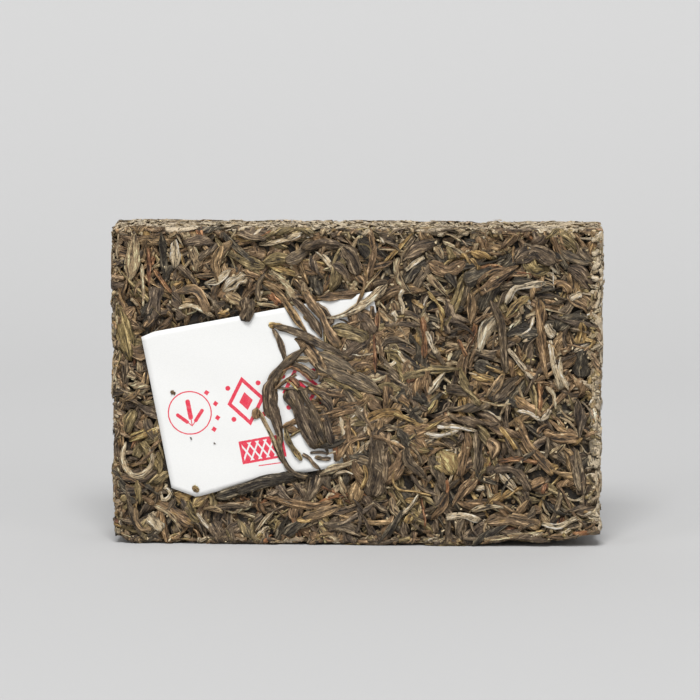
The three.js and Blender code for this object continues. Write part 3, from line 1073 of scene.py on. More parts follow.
def ticket_piece(material):
    """A thin closed sheet with one cut corner, in its slight waves."""
    columns, rows = SHEET_GRID
    half = (TICKET["width"] / 2, TICKET["height"] / 2)
    along = np.linspace(-half[0], half[0], columns)
    from_left = along + half[0]
    low = np.clip(1 - from_left / TICKET_CUT["along"], 0, 1) * TICKET_CUT["up"]
    low = low + np.clip((from_left - TICKET_CUT["along"]) / TICKET_CURL["along"], 0, 1) * TICKET_CURL["up"]
    high = np.clip(1 - from_left / TICKET_WORN["along"], 0, 1) * TICKET_WORN["down"]
    share = np.linspace(0, 1, rows)
    up = (-half[1] + low)[:, None] + share[None, :] * (2 * half[1] - low - high)[:, None]
    along = np.repeat(along[:, None], rows, 1)
    cos, sin = math.cos(TICKET["tilt"]), math.sin(TICKET["tilt"])
    x = TICKET["x"] + along * cos - up * sin
    z = TICKET["z"] + along * sin + up * cos
    rise = paper_wave(along, up) + PAPER_LEVEL
    sheets = [
        np.stack([x, np.full_like(x, FRONT) - (rise - depth), z], -1).reshape(-1, 3)
        for depth in (0, PAPER_THICKNESS)
    ]
    grid = np.arange(columns * rows).reshape(columns, rows)
    quads = quads_of(grid)
    edge = np.concatenate([grid[:, 0], grid[-1, 1:], grid[-2::-1, -1], grid[0, -2:0:-1]])
    after = np.roll(edge, -1)
    rim = np.stack([edge, edge + grid.size, after + grid.size, after], -1)
    faces = np.concatenate([quads, quads[:, ::-1] + grid.size, rim])
    place = np.stack([along / (2 * half[0]) + 0.5, up / (2 * half[1]) + 0.5], -1).reshape(-1, 2)
    uv = np.vstack([place, place])[faces]
    ends = (0, len(quads), 2 * len(quads), len(faces))
    for first, last, (size, corner) in zip(ends, ends[1:], (FRONT_MAP, BACK_MAP, EDGE_MAP)):
        uv[first:last] = uv[first:last] * size + corner
    flat = np.stack([along, up], -1).reshape(-1, 2)
    side = np.concatenate([np.ones(grid.size), np.zeros(grid.size)])[:, None]
    sheet = np.hstack([np.vstack([flat, flat]), side])
    return mesh_object(
        "ticket", np.vstack(sheets), faces.ravel(), np.full(len(faces), 4), material,
        vectors=[("sheet", sheet)], uv=uv.reshape(-1, 2),
    )


# The core

# How long its cells are and how high its bumps
CORE_CELL = 2.8
CORE_BUMP = 0.13
# The waves of its bumps: a way with its own length, and a start
CORE_WAVES = [
    ((1.3, 0.9, 1.1), 0.3), ((-0.8, 1.4, 1.5), 1.9), ((0.6, -1.2, 2.1), 4.0), ((2.2, 0.5, -0.4), 2.6),
]


def core_piece(material):
    """A bumpy rounded block under the leaves."""
    half = np.array([WIDTH, THICKNESS, HEIGHT]) / 2 - CORE_DEPTH
    centre = np.array([0, MIDDLE, HEIGHT / 2])
    cells = np.maximum(np.round(2 * half / CORE_CELL).astype(int), 4)
    keys, faces = {}, []
    for axis in range(3):
        a, b = (axis + 1) % 3, (axis + 2) % 3
        for end in (0, cells[axis]):
            for i, j in np.ndindex(cells[a], cells[b]):
                face = []
                for da, db in ((0, 0), (1, 0), (1, 1), (0, 1)):
                    key = [0, 0, 0]
                    key[axis], key[a], key[b] = end, i + da, j + db
                    face.append(keys.setdefault(tuple(key), len(keys)))
                faces.append(face if end else face[::-1])
    points = np.array(list(keys)) / cells * 2 * half - half
    inner = np.clip(points, CORE_CORNER - half, half - CORE_CORNER)
    out = points - inner
    out /= np.linalg.norm(out, axis=1, keepdims=True)
    points = inner + CORE_CORNER * out
    bumps = sum(np.sin(points @ np.array(way) + start) for way, start in CORE_WAVES)
    points = worn(points + out * bumps[:, None] * CORE_BUMP + centre)
    return mesh_object("tea_core", points, np.array(faces).ravel(), np.full(len(faces), 4), material)


# Crumbs, scattered over what has been laid

# How many to a square millimetre, and their smallest and largest half lengths
CRUMBS = {"density": 0.22, "smallest": (0.2, 0.14, 0.08), "largest": (0.95, 0.55, 0.26), "seed": 5}
# Their least and most turn in radians, and the seeds of their turns and shades
CRUMB_TURN = ((-0.5, -0.5, 0.0), (0.5, 0.5, 6.28))
TURN_SEED, SHADE_SEED = 7, 11

# The surface that they lie on: its cells, how high it follows the leaves, and how far the crumbs sink in
# and stay over the floor
SURFACE_STEP = 1.1
SURFACE_TOP = 0.4
CRUMBS_SINK = 0.1
CRUMBS_OVER_FLOOR = 0.9

# How many crumbs lie everywhere, on the rim, and along the edges of the faces, beside those in a deep gap
EVERYWHERE, ON_RIM, AT_EDGES = 0.12, 1.2, 1.4
EDGE_REACH = 4
GAP_DEPTHS = (0.5, 1.4)


def scatter_tree():
    """Crumbs on a surface: a squashed ball at each random point, turned and sized at random."""
    tree = bpy.data.node_groups.new("scattered_crumbs", "GeometryNodeTree")
    tree.is_modifier = True
    for name, kind in (("Geometry", "NodeSocketGeometry"), ("Density", "NodeSocketFloat"),
                       ("Smallest", "NodeSocketVector"), ("Largest", "NodeSocketVector"),
                       ("Seed", "NodeSocketInt"), ("Finish", "NodeSocketMaterial")):
        tree.interface.new_socket(name, in_out="INPUT", socket_type=kind)
    tree.interface.new_socket("Geometry", in_out="OUTPUT", socket_type="NodeSocketGeometry")

    def node(kind, values=None, **settings):
        made = tree.nodes.new(kind)
        for key, value in settings.items():
            setattr(made, key, value)
        for key, value in (values or {}).items():
            if isinstance(value, bpy.types.NodeSocket):
                tree.links.new(value, made.inputs[key])
            else:
                made.inputs[key].default_value = value
        return made.outputs

    given = node("NodeGroupInput")
    gap = node("GeometryNodeInputNamedAttribute", {"Name": "gap"}, data_type="FLOAT")[0]
    density = node("ShaderNodeMath", {0: given["Density"], 1: gap}, operation="MULTIPLY")[0]
    points = node(
        "GeometryNodeDistributePointsOnFaces",
        {"Mesh": given["Geometry"], "Density": density, "Seed": given["Seed"]},
    )
    ball = node("GeometryNodeMeshIcoSphere", {"Radius": 1.0, "Subdivisions": 1})["Mesh"]
    size = node(
        "FunctionNodeRandomValue",
        {0: given["Smallest"], 1: given["Largest"], "Seed": given["Seed"]},
        data_type="FLOAT_VECTOR",
    )[0]
    spin = node(
        "FunctionNodeRandomValue",
        {0: CRUMB_TURN[0], 1: CRUMB_TURN[1], "Seed": TURN_SEED},
        data_type="FLOAT_VECTOR",
    )[0]
    turned = node(
        "FunctionNodeRotateRotation",
        {"Rotation": points["Rotation"], "Rotate By": spin},
        rotation_space="LOCAL",
    )[0]
    placed = node(
        "GeometryNodeInstanceOnPoints",
        {"Points": points["Points"], "Instance": ball, "Rotation": turned, "Scale": size},
    )[0]
    shade = node("FunctionNodeRandomValue", {"Seed": SHADE_SEED}, data_type="FLOAT")[1]
    shaded = node(
        "GeometryNodeStoreNamedAttribute",
        {"Geometry": placed, "Name": "crumb", "Value": shade},
        data_type="FLOAT",
        domain="INSTANCE",
    )[0]
    real = node("GeometryNodeRealizeInstances", {"Geometry": shaded})[0]
    done = node("GeometryNodeSetMaterial", {"Geometry": real, "Material": given["Finish"]})[0]
    tree.links.new(done, tree.nodes.new("NodeGroupOutput").inputs[0])
    return tree


def laid_surface(beds, material):
    """The surface of what has been laid on each face, coarsely, with how many crumbs each place holds."""
    points, faces, gaps = [], [], []
    start = 0
    for bed in beds:
        half = bed.face.half
        u, v = (np.linspace(-h, h, int(2 * h / SURFACE_STEP)) for h in half)
        u, v = np.meshgrid(u, v, indexing="ij")
        h = np.clip(bed.read(bed.height, u, v), -DEEP, SURFACE_TOP)
        place = bed.face.place(u, v, h - CRUMBS_SINK)
        place[..., 2] = np.maximum(place[..., 2], CRUMBS_OVER_FLOOR)
        points.append(place.reshape(-1, 3))
        gap = EVERYWHERE + smooth_step(-h, *GAP_DEPTHS)
        if bed.face is RIM:
            gap = gap + ON_RIM
        else:
            to_edge = np.minimum(half[0] - np.abs(u), half[1] - np.abs(v))
            gap = gap + AT_EDGES * (1 - smooth_step(to_edge, 0, EDGE_REACH))
        if bed.face is FRONT_FACE:
            gap = gap * (1 - smooth_step(inside_ticket(u, v + HEIGHT / 2), -1.5, -0.5))
        gaps.append(gap.ravel())
        faces.append(quads_of(np.arange(u.size).reshape(u.shape) + start))
        start += u.size
    faces = np.concatenate(faces)
    return mesh_object(
        "laid_surface", np.concatenate(points), faces.ravel(), np.full(len(faces), 4), material,
        floats=[("gap", np.concatenate(gaps))],
    )


def crumbs_piece(beds, material):
    bed_surface = laid_surface(beds, material)
    tree = scatter_tree()
    modifier = bed_surface.modifiers.new("crumbs", "NODES")
    modifier.node_group = tree
    sockets = {item.name: item.identifier for item in tree.interface.items_tree if item.in_out == "INPUT"}
    modifier[sockets["Density"]] = CRUMBS["density"] / MM**2
    modifier[sockets["Smallest"]] = [s * MM for s in CRUMBS["smallest"]]
    modifier[sockets["Largest"]] = [s * MM for s in CRUMBS["largest"]]
    modifier[sockets["Seed"]] = CRUMBS["seed"]
    modifier[sockets["Finish"]] = material
    bpy.context.view_layer.update()
    evaluated = bed_surface.evaluated_get(bpy.context.evaluated_depsgraph_get())
    mesh = bpy.data.meshes.new_from_object(evaluated)
    bpy.data.objects.remove(bed_surface)
    piece = bpy.data.objects.new("tea_crumbs", mesh)
    bpy.context.scene.collection.objects.link(piece)
    return piece


# The camera, and the front as it sees it

# Its distance from what it aims at, how far above and to the right it stands, how wide a stretch of the front
# its frame takes in, and the width of its sensor
CAMERA = {
    "distance": 950.0, "rise": 128.0, "to_right": 42.0, "aim": (-1.78, 59.0), "frame": 207.5, "sensor": 36.0,
}
CLIP = (0.01, 20)
PHOTO_PIXELS = 700
# The steps in which the outline's wear is taken off a place again
WEAR_STEPS = 4


def camera_place():
    """Where the camera stands, and what it aims at."""
    aim = Vector((CAMERA["aim"][0], FRONT, CAMERA["aim"][1]))
    back = math.sqrt(CAMERA["distance"] ** 2 - CAMERA["rise"] ** 2 - CAMERA["to_right"] ** 2)
    return aim + Vector((CAMERA["to_right"], -back, CAMERA["rise"])), aim


def on_front(pixel):
    """A pixel of the photograph as a place across and up the front, before the outline is worn."""
    eye, aim = camera_place()
    ahead = (aim - eye).normalized()
    right = ahead.cross(Vector((0, 0, 1))).normalized()
    step = CAMERA["frame"] / PHOTO_PIXELS
    across, up = pixel[0] - PHOTO_PIXELS / 2, PHOTO_PIXELS / 2 - pixel[1]
    ray = aim - eye + (right * across + right.cross(ahead) * up) * step
    place = np.array(eye + ray * ((FRONT - eye.y) / ray.y))
    before = place
    for _ in range(WEAR_STEPS):
        before = before + place - worn(before)
    return before[0], before[2] - HEIGHT / 2


# Leaves that stand out on the front: finish, form, width in millimetres, and pixels along the middle line
STANDING_OUT = [
    ("tan", "blade", 4.8, (134.5, 232), (132.5, 257), (129.6, 281)),
    ("tan", "stem", 1.3, (141.6, 264), (143, 288), (143, 306)),
    ("slate", "rolled", 2.4, (161, 231), (163, 250), (165, 279)),
    ("tan", "rolled", 1.8, (229, 242), (225, 252), (220, 263)),
    ("olive", "blade", 3.4, (238, 260), (251, 264), (265, 268)),
    ("tan", "blade", 3.2, (226, 293), (235, 299), (245, 304)),
    ("pale", "blade", 3.2, (174, 240), (175, 254), (175, 269)),
    ("russet", "stem", 1.5, (148, 248), (149, 267), (148, 286)),
    ("dark", "blade", 3.8, (158, 283), (154, 305), (151, 328)),
    ("olive", "blade", 4.6, (118, 303), (124, 332), (130, 362)),
    ("olive", "blade", 3.4, (135, 410), (129, 421), (127, 433)),
    ("pale", "stem", 1.9, (259, 245), (281, 241), (301, 234)),
    ("golden", "stem", 1.7, (269, 266), (282, 270), (295, 275)),
    ("slate", "stem", 1.8, (223, 233), (238, 249), (254, 262)),
    ("pale", "bud", 2.2, (203, 284), (218, 281), (231, 269)),
    ("pale", "blade", 3.6, (222, 292), (235, 281), (247, 276)),
    ("brown", "rolled", 2.8, (170, 293), (196, 288), (209, 314)),
    ("pale", "stem", 1.4, (173, 310), (190, 304), (214, 317)),
    ("russet", "stem", 1.5, (154, 270), (163, 283), (172, 293)),
    ("brown", "rolled", 2.2, (214, 268), (221, 254), (232, 240)),
    ("dark", "rolled", 3.2, (182, 243), (200, 239), (214, 244)),
    ("brown", "rolled", 2.6, (218, 282), (214, 262), (224, 244)),
    ("olive", "rolled", 3.2, (262, 263), (280, 258), (298, 262)),
    ("dark", "rolled", 3.4, (285, 262), (300, 255), (312, 240)),
    ("pale", "thread", 1, (248, 240), (256, 233), (262, 228)),
    ("golden", "rolled", 2, (232, 236), (243, 238), (256, 236)),
    ("dark", "blade", 4.6, (236, 229), (250, 232), (268, 236)),
    ("dark", "rolled", 3.2, (300, 250), (322, 242), (344, 246)),
    ("dark", "rolled", 2.8, (330, 262), (342, 268), (350, 284)),
    ("pale", "bud", 3.4, (497, 315), (485, 331), (479, 354)),
    ("dark", "rolled", 2.4, (490, 300), (502, 325), (506, 374)),
    ("pale", "stem", 1.6, (508, 349), (519, 362), (532, 378)),
    ("golden", "bud", 2.4, (506, 318), (516, 305), (529, 296)),
    ("pale", "stem", 1.8, (506, 304), (514, 287), (545, 283)),
    ("pale", "blade", 2.7, (524, 244), (548, 254), (560, 275)),
    ("dark", "blade", 4.4, (514, 262), (535, 250), (556, 264)),
    ("olive", "blade", 4, (524, 256), (534, 272), (551, 270)),
    ("brown", "rolled", 3, (539, 298), (541, 337), (547, 379)),
    ("pale", "stem", 1.4, (550, 341), (553, 364), (561, 388)),
    ("pale", "thread", 1.4, (560, 356), (560, 373), (569, 391)),
    ("pale", "chip", 3, (546, 324), (549, 331), (555, 338)),
    ("golden", "chip", 1.5, (525, 362), (531, 361), (536, 363)),
    ("russet", "stem", 1.6, (422, 317), (425, 337), (424, 358)),
    ("russet", "stem", 1.2, (458, 340), (462, 347), (466, 356)),
    ("golden", "stem", 1, (471, 376), (483, 380), (494, 382)),
    ("golden", "stem", 0.9, (473, 372), (484, 376), (494, 379)),
    ("pale", "bud", 2.1, (446, 371), (437, 381), (428, 394)),
    ("olive", "rolled", 2.4, (398, 378), (428, 369), (461, 369)),
    ("olive", "rolled", 2.4, (460, 367), (464, 385), (481, 406)),
    ("dark", "blade", 3.8, (519, 376), (505, 390), (493, 402)),
    ("brown", "rolled", 2.6, (504, 373), (497, 386), (486, 398)),
    ("pale", "thread", 1.5, (545, 386), (554, 394), (555, 408)),
    ("russet", "stem", 1.4, (539, 382), (541, 396), (540, 411)),
    ("golden", "blade", 3, (581, 322), (582, 333), (579, 345)),
    ("brown", "rolled", 2.4, (515, 418), (528, 447), (554, 475)),
    ("pale", "stem", 1.5, (518, 411), (529, 413), (541, 420)),
    ("pale", "chip", 1.6, (540, 421), (546, 417), (551, 409)),
    ("pale", "thread", 0.9, (500, 418), (504, 408), (509, 399)),
    ("dark", "blade", 3.4, (572, 446), (579, 470), (581, 496)),
    ("dark", "rolled", 3, (577, 398), (581, 418), (579, 440)),
    ("pale", "blade", 2.4, (498, 470), (508, 483), (521, 496)),
    ("brown", "rolled", 2.8, (451, 507), (463, 492), (479, 478)),
    ("pale", "chip", 1.8, (475, 490), (480, 488), (485, 487)),
    ("pale", "stem", 2, (447, 517), (464, 515), (480, 521)),
    ("pale", "stem", 2.1, (542, 525), (559, 528), (577, 518)),
    ("golden", "stem", 1.5, (503, 537), (526, 535), (545, 531)),
    ("pale", "chip", 1.4, (559, 535), (565, 533), (571, 529)),
    ("brown", "rolled", 2.4, (503, 505), (516, 517), (530, 499)),
    ("russet", "stem", 1.1, (447, 480), (448, 487), (447, 493)),
    ("brown", "rolled", 1.9, (448, 492), (444, 505), (430, 521)),
    ("russet", "stem", 1.3, (498, 462), (516, 458), (537, 463)),
    ("brown", "blade", 3.6, (156, 502), (176, 514), (194, 526)),
    ("pale", "thread", 1.2, (144, 530), (149, 532), (153, 527)),
    ("golden", "stem", 1.4, (364, 464), (368, 475), (361, 489)),
    ("dark", "blade", 5.8, (378, 438), (379, 468), (372, 497)),
    ("dark", "rolled", 2.6, (389, 450), (388, 466), (384, 484)),
    ("dark", "stem", 1.5, (406, 446), (406, 463), (427, 479)),
    ("dark", "stem", 1.4, (411, 474), (421, 489), (438, 496)),
    ("pale", "stem", 1.2, (418, 495), (412, 505), (402, 515)),
    ("pale", "thread", 1, (456, 448), (454, 470), (448, 486)),
    ("brown", "rolled", 2.4, (466, 430), (467, 450), (460, 478)),
    ("dark", "rolled", 2.6, (476, 430), (478, 450), (478, 474)),
    ("brown", "rolled", 3.2, (487, 440), (496, 447), (492, 460)),
    ("dark", "rolled", 3, (560, 250), (572, 258), (592, 262)),
    ("dark", "blade", 4.4, (566, 266), (580, 272), (592, 290)),
    ("russet", "stem", 1.1, (590, 420), (598, 416), (602, 408)),
    ("golden", "stem", 1, (572, 446), (577, 442), (582, 438)),
    ("pale", "thread", 1.2, (592, 378), (594, 400), (596, 424)),
    ("pale", "chip", 1.6, (416, 260), (420, 252), (414, 246)),
    ("pale", "stem", 1.4, (406, 270), (416, 262), (424, 257)),
    ("golden", "stem", 1.0, (441, 268), (448, 262), (456, 256)),
    ("olive", "blade", 2.2, (447, 246), (450, 252), (452, 259)),
    ("tan", "blade", 2.0, (434, 246), (439, 251), (443, 259)),
    ("dark", "rolled", 3.6, (402, 262), (418, 248), (440, 240)),
    ("brown", "rolled", 2.2, (366, 282), (372, 262), (376, 244)),
    ("golden", "rolled", 1.3, (375, 277), (384, 264), (394, 252), (403, 243), (413, 233)),
    ("dark", "blade", 4.2, (340, 244), (352, 258), (358, 276)),
    ("brown", "blade", 3.6, (428, 262), (446, 272), (466, 262)),
    ("pale", "thread", 1.2, (426, 330), (431, 344), (437, 354)),
    ("dark", "rolled", 2.6, (446, 300), (452, 318), (470, 322)),
    ("pale", "thread", 0.9, (538, 334), (530, 338), (522, 342)),
    ("pale", "stem", 1, (534, 318), (530, 330), (520, 336)),
    ("russet", "stem", 1.0, (377.5, 312), (377, 327), (374.5, 336), (375, 347), (375.5, 359), (376, 372)),
    ("dark", "rolled", 2.0, (381, 362), (381, 348), (386, 340), (395, 338.5), (406, 342), (417, 349)),
    ("olive", "thread", 0.8, (389, 362), (388, 350), (391, 344), (396, 344), (399, 351)),
    ("dark", "rolled", 1.5, (384, 324.5), (396, 322.5), (409, 324), (421, 326)),
    ("pale", "thread", 1.2, (403.5, 289), (399, 297), (403, 307), (402.5, 315)),
    ("pale", "chip", 1.8, (392, 311), (396, 316), (396, 322)),
    ("pale", "chip", 1.2, (361, 353), (364, 348), (366.5, 343)),
    ("tan", "thread", 0.9, (375.5, 345), (378.5, 347), (378.5, 353)),
    ("pale", "thread", 1.2, (384, 364), (391, 365), (396, 361), (393, 357)),
    ("tan", "chip", 1.3, (398, 365.5), (404, 364.5), (410, 364.5)),
    ("tan", "chip", 2.4, (366, 377.5), (376, 379), (387, 374)),
    ("golden", "blade", 3.2, (366, 421), (375, 415), (385, 412), (395, 412), (403, 417)),
    ("golden", "rolled", 1.7, (393, 413), (403, 418), (414, 423), (425, 425.5), (437, 427)),
    ("pale", "rolled", 1.5, (434, 426), (455, 427.5), (478, 431.5)),
    ("pale", "chip", 1.8, (423, 432.5), (440, 436), (459, 430.5)),
    ("golden", "bud", 2.0, (428, 414), (433, 407), (437, 399)),
    ("pale", "chip", 1.4, (348, 419), (356, 413), (364, 408)),
    ("pale", "chip", 2.0, (340, 416), (341, 425), (342.5, 436)),
    ("tan", "rolled", 1.5, (345.5, 431), (348, 424), (357, 419)),
    ("pale", "chip", 1.2, (366, 422), (365, 429), (364, 433)),
    ("tan", "chip", 1.5, (382, 428.5), (390, 428), (398, 427)),
    ("golden", "stem", 0.9, (351, 427), (357, 435), (359, 444), (357.5, 451)),
    ("tan", "rolled", 1.4, (351, 459), (361, 449), (371, 439)),
    ("slate", "chip", 4.6, (398, 427), (407, 434), (412, 447)),
    ("pale", "chip", 1.7, (390, 441), (395, 442), (399, 445)),
    ("olive", "thread", 0.9, (388, 446), (392, 450), (388, 458)),
    ("tan", "rolled", 2.0, (318, 476), (333, 468), (347, 464), (360, 458)),
    ("tan", "rolled", 1.7, (339, 474), (341, 483), (344, 492), (348, 501)),
    ("pale", "thread", 1.0, (333, 478), (338, 473), (346, 471), (354, 474)),
    ("brown", "blade", 4.0, (358, 480), (356, 492), (352, 504)),
    ("olive", "rolled", 1.4, (157, 452), (161, 462), (158, 475)),
    ("pale", "thread", 1.5, (126, 441), (121.5, 455), (125, 468), (133, 477), (143, 475.5), (151.5, 467),
     (153, 456), (149, 447)),
    ("golden", "blade", 3.2, (173, 495), (182, 497), (192, 496)),
    ("golden", "rolled", 2.6, (192, 508), (199, 500), (209, 492)),
    ("pale", "thread", 1.4, (161, 492), (162, 500), (168, 500), (171, 494), (167, 489), (162, 489)),
    ("olive", "rolled", 2.2, (137, 480), (139, 493), (139, 505)),
    ("pale", "chip", 3.4, (148, 514), (155, 521), (162, 531)),
    ("tan", "stem", 1.2, (155, 506), (168, 512), (176, 521), (182, 532)),
    ("tan", "bud", 2.0, (202, 510), (212, 508), (223, 511)),
    ("brown", "rolled", 1.5, (135, 507), (136, 520), (142, 530), (152, 528)),
    ("brown", "rolled", 2.2, (260, 495), (292, 503), (317, 507), (333, 502)),
    ("tan", "thread", 0.9, (293, 501), (302, 503), (312, 503)),
    ("brown", "blade", 3.6, (300, 520), (322, 513), (342, 507)),
    ("pale", "chip", 1.3, (255, 538), (262, 531), (269, 527)),
    ("tan", "rolled", 1.3, (255, 532), (264, 521), (275, 510)),
    ("golden", "round", 7.4, (439, 450), (446.5, 462), (454, 475)),
    ("slate", "blade", 5.5, (585, 350), (583, 364), (581, 379)),
    ("brown", "blade", 4.6, (484, 524), (497, 520), (512, 519), (530, 523), (540, 529)),
    ("tan", "rolled", 1.7, (484, 540), (503, 537), (526, 535), (543, 532)),
    ("pale", "chip", 1.7, (526, 538), (535, 536), (543, 532)),
    ("dark", "rolled", 2.4, (409, 441), (406, 452), (410, 463), (420, 471), (426, 478)),
    ("golden", "thread", 0.8, (397, 464), (392, 475), (394, 486), (400, 491), (413, 491), (424, 494),
     (432, 496)),
    ("dark", "rolled", 3.0, (577, 449), (578, 470), (580, 492)),
    ("golden", "stem", 1.2, (500, 427), (508, 437), (516, 449)),
]

# The loosened leaves over the ticket, lowest first, in the same terms
OVER_TICKET = [
    ("slate", "rolled", 3.2, (214, 498), (228, 493), (245, 487), (268, 480)),
    ("slate", "rolled", 3.4, (236, 492), (250, 486), (262, 481), (280, 478.5), (297, 475), (312, 476)),
    ("brown", "rolled", 2.4, (316, 299), (334, 296), (351, 295), (364, 291)),
    ("tan", "stem", 1.0, (257, 304), (266, 304.5), (278, 306.5)),
    ("pale", "thread", 0.8, (259, 300), (264, 299.5), (268, 301)),
    ("brown", "rolled", 1.8, (320, 420), (333, 415), (345, 411), (357, 408)),
    ("brown", "rolled", 1.8, (315, 416), (327, 412), (340, 408.5), (352, 405), (365, 401)),
    ("dark", "rolled", 2.8, (312, 389), (322, 395), (330, 405), (333, 416)),
    ("brown", "chip", 2.4, (286, 428), (293, 430), (299, 432)),
    ("brown", "rolled", 1.7, (281, 428), (289, 424), (300, 419)),
    ("olive", "stem", 0.9, (290, 437), (297, 432), (303, 430)),
    ("dark", "chip", 0.7, (293, 418), (294.5, 417), (296, 416)),
    ("dark", "stem", 1.3, (303, 454.5), (309, 458), (314, 465), (320, 470)),
    ("dark", "stem", 0.9, (311, 453), (322, 452), (328, 454)),
    ("dark", "stem", 1.2, (315, 457), (322, 459), (330, 459)),
    ("dark", "blade", 4.6, (288, 388), (294, 398), (299, 407), (303, 418), (308, 428), (313, 437),
     (319, 448)),
    ("dark", "rolled", 2.4, (300, 386), (307, 401), (313, 410), (317, 421), (320, 431), (325, 444)),
    ("dark", "rolled", 2.2, (322, 408), (327, 420), (330, 432), (333, 444)),
    ("olive", "stem", 1.6, (285.5, 429), (287, 438), (292, 447), (301, 459)),
    ("golden", "chip", 1.3, (294, 450), (298, 455), (302, 461)),
    ("tan", "stem", 1.4, (257.5, 410), (263, 419), (267, 427.5), (271.5, 436), (275, 444.5), (279, 454),
     (283, 463)),
    ("brown", "chip", 2.4, (257.5, 408), (255.5, 413), (257, 420)),
    ("brown", "rolled", 1.5, (298, 380), (307, 383), (315, 387), (324, 391), (334, 393.5), (346, 396)),
    ("golden", "stem", 0.8, (309, 387), (317, 393), (323, 400)),
    ("dark", "stem", 0.8, (278, 388), (290, 389), (306, 389)),
    ("dark", "blade", 5.2, (316, 361), (333, 369), (350, 377), (366, 385), (382, 394)),
    ("brown", "blade", 3.8, (294, 338), (304, 343.5), (311, 352), (317, 361), (324, 373)),
    ("dark", "rolled", 2.2, (318, 352), (330, 356), (343, 363), (357, 372)),
    ("olive", "rolled", 1.8, (322, 378), (336, 381), (350, 388), (362, 398)),
    ("olive", "blade", 4.0, (331, 329), (345, 331), (358, 335), (369, 341)),
    ("dark", "blade", 3.4, (358, 312), (366, 320), (371, 327), (374, 334)),
    ("dark", "rolled", 2.4, (316, 305), (324, 311), (329, 318), (331, 326)),
    ("pale", "bud", 2.5, (326, 317.5), (334.5, 318), (345.5, 314.5), (356, 309.5), (364, 304.5),
     (373, 297.5), (381, 291), (388, 283)),
    ("brown", "stem", 1.1, (364, 266), (366.5, 278), (364, 289), (361, 297), (357, 304)),
    ("tan", "stem", 0.8, (381, 270), (375, 277), (369, 283), (364.5, 290)),
    ("golden", "chip", 1.3, (303, 316), (308, 320), (313, 325)),
    ("dark", "rolled", 1.7, (272, 328), (276, 334), (279.5, 341), (282, 348), (284, 356), (286.5, 365)),
    ("dark", "rolled", 2.5, (291, 296), (304, 309.5), (311, 318.5), (317, 327.5), (322, 338)),
    ("brown", "rolled", 2.7, (302, 290), (309, 300), (315, 308), (322, 316), (326.5, 327.5), (332, 337),
     (339, 347)),
    ("russet", "chip", 1.7, (268, 293), (274, 298.5), (281, 305)),
    ("brown", "rolled", 2.3, (263, 283), (274, 289), (283, 297), (288, 306), (294, 315), (299, 323),
     (307, 333)),
    ("golden", "chip", 1.5, (268, 326), (273, 325), (284, 326.5)),
    ("dark", "rolled", 2.3, (272, 326), (281, 327.5), (290, 330), (298, 333), (307, 337.5), (315, 341.5),
     (325, 346), (337, 351), (349, 358)),
    ("dark", "rolled", 2.2, (287, 364), (300, 366.5), (308, 370.5), (317, 377)),
    ("tan", "chip", 1.8, (294, 360.5), (301, 358.5), (311, 360)),
    ("brown", "rolled", 1.8, (292, 363.5), (282, 372.5), (274.5, 385.5), (275.5, 396), (277, 406)),
    ("dark", "rolled", 2.4, (306, 347), (295, 355), (286, 362.5), (278, 371), (271, 381), (268, 390)),
    ("dark", "rolled", 3.9, (273, 377), (270, 386), (270, 397), (271.5, 408), (275, 418), (276, 425)),
    ("dark", "rolled", 2.6, (271, 396), (274, 410), (277, 422), (279.5, 434), (281, 446)),
    ("dark", "stem", 1.3, (278, 436), (280.5, 447), (283, 458), (288, 468), (297, 475), (307, 477)),
    ("brown", "stem", 1.0, (275, 389), (285, 381.5), (296, 374)),
    ("russet", "chip", 1.7, (289, 377.5), (294, 380), (299, 387)),
    ("golden", "stem", 0.7, (286, 380), (292, 384), (298, 390)),
    ("russet", "stem", 0.9, (283, 371), (291, 366.5), (299, 370), (307, 376), (312, 380)),
    ("dark", "rolled", 3.4, (246, 297), (247, 308), (243, 321)),
    ("dark", "rolled", 2.0, (253, 299), (251, 309), (249, 322)),
]

# Specks on the open paper, as finish, size, and place
SPECKS = [
    ("brown", 1.1, (172.8, 392.8)),
    ("dark", 0.55, (190.9, 438.6)),
    ("dark", 0.55, (214.4, 443.8)),
    ("golden", 1.6, (195.5, 489.3)),
]


# How much a traced leaf is twisted beside the others, and how many more sides it has
DRAWN_TWIST = 0.4
DRAWN_SIDES = 4

# How many leaves are laid on each side, how far they may stand over the mould, and how far any may
SEEDS = {"front": 21, "back": 22, "rim": 23, "specks": 24}
COUNTS = {"front": 2300, "mound": 6500, "back": 2000, "rim": 4600}
PROUD = {"front": 0.55, "mound": 1.1, "upper": 1.35, "loose": 1.65, "back": 0.4, "rim": 0.5}
HIGHEST = 2.3


def drawn(rows, rng):
    """Leaves from rows of finish, form, width and pixels."""
    for kind, form, width, *pixels in rows:
        line = drawn_line(form, [on_front(pixel) for pixel in pixels])
        twist = rng.uniform(-1, 1) * math.radians(FORMS[form]["twist"]) * DRAWN_TWIST
        yield leaf_shape(kind, form, line, width, rng, twist=twist, more_sides=DRAWN_SIDES)


# The front

# The band round the ticket's edges where the leaves are pushed down under it, and how flat they are there
PUSHED_BAND = (-2.2, -0.1)
UNDER_BED = 0.25
RISE_LEFT, DIP_LEFT = 0.2, 0.7
WELL_INSIDE = 0.6

# The mound of tea over the ticket's right end: its middle and half sizes, how far past it the leaves that
# make it may reach, and how far past it a traced leaf still lies on it
MOUND = {"x": 5.3, "z": 45.0, "across": 17.5, "up": 23.5}
MOUND_SPARE, MOUND_REACH = 2.5, 1.15
ON_MOUND = 5.0

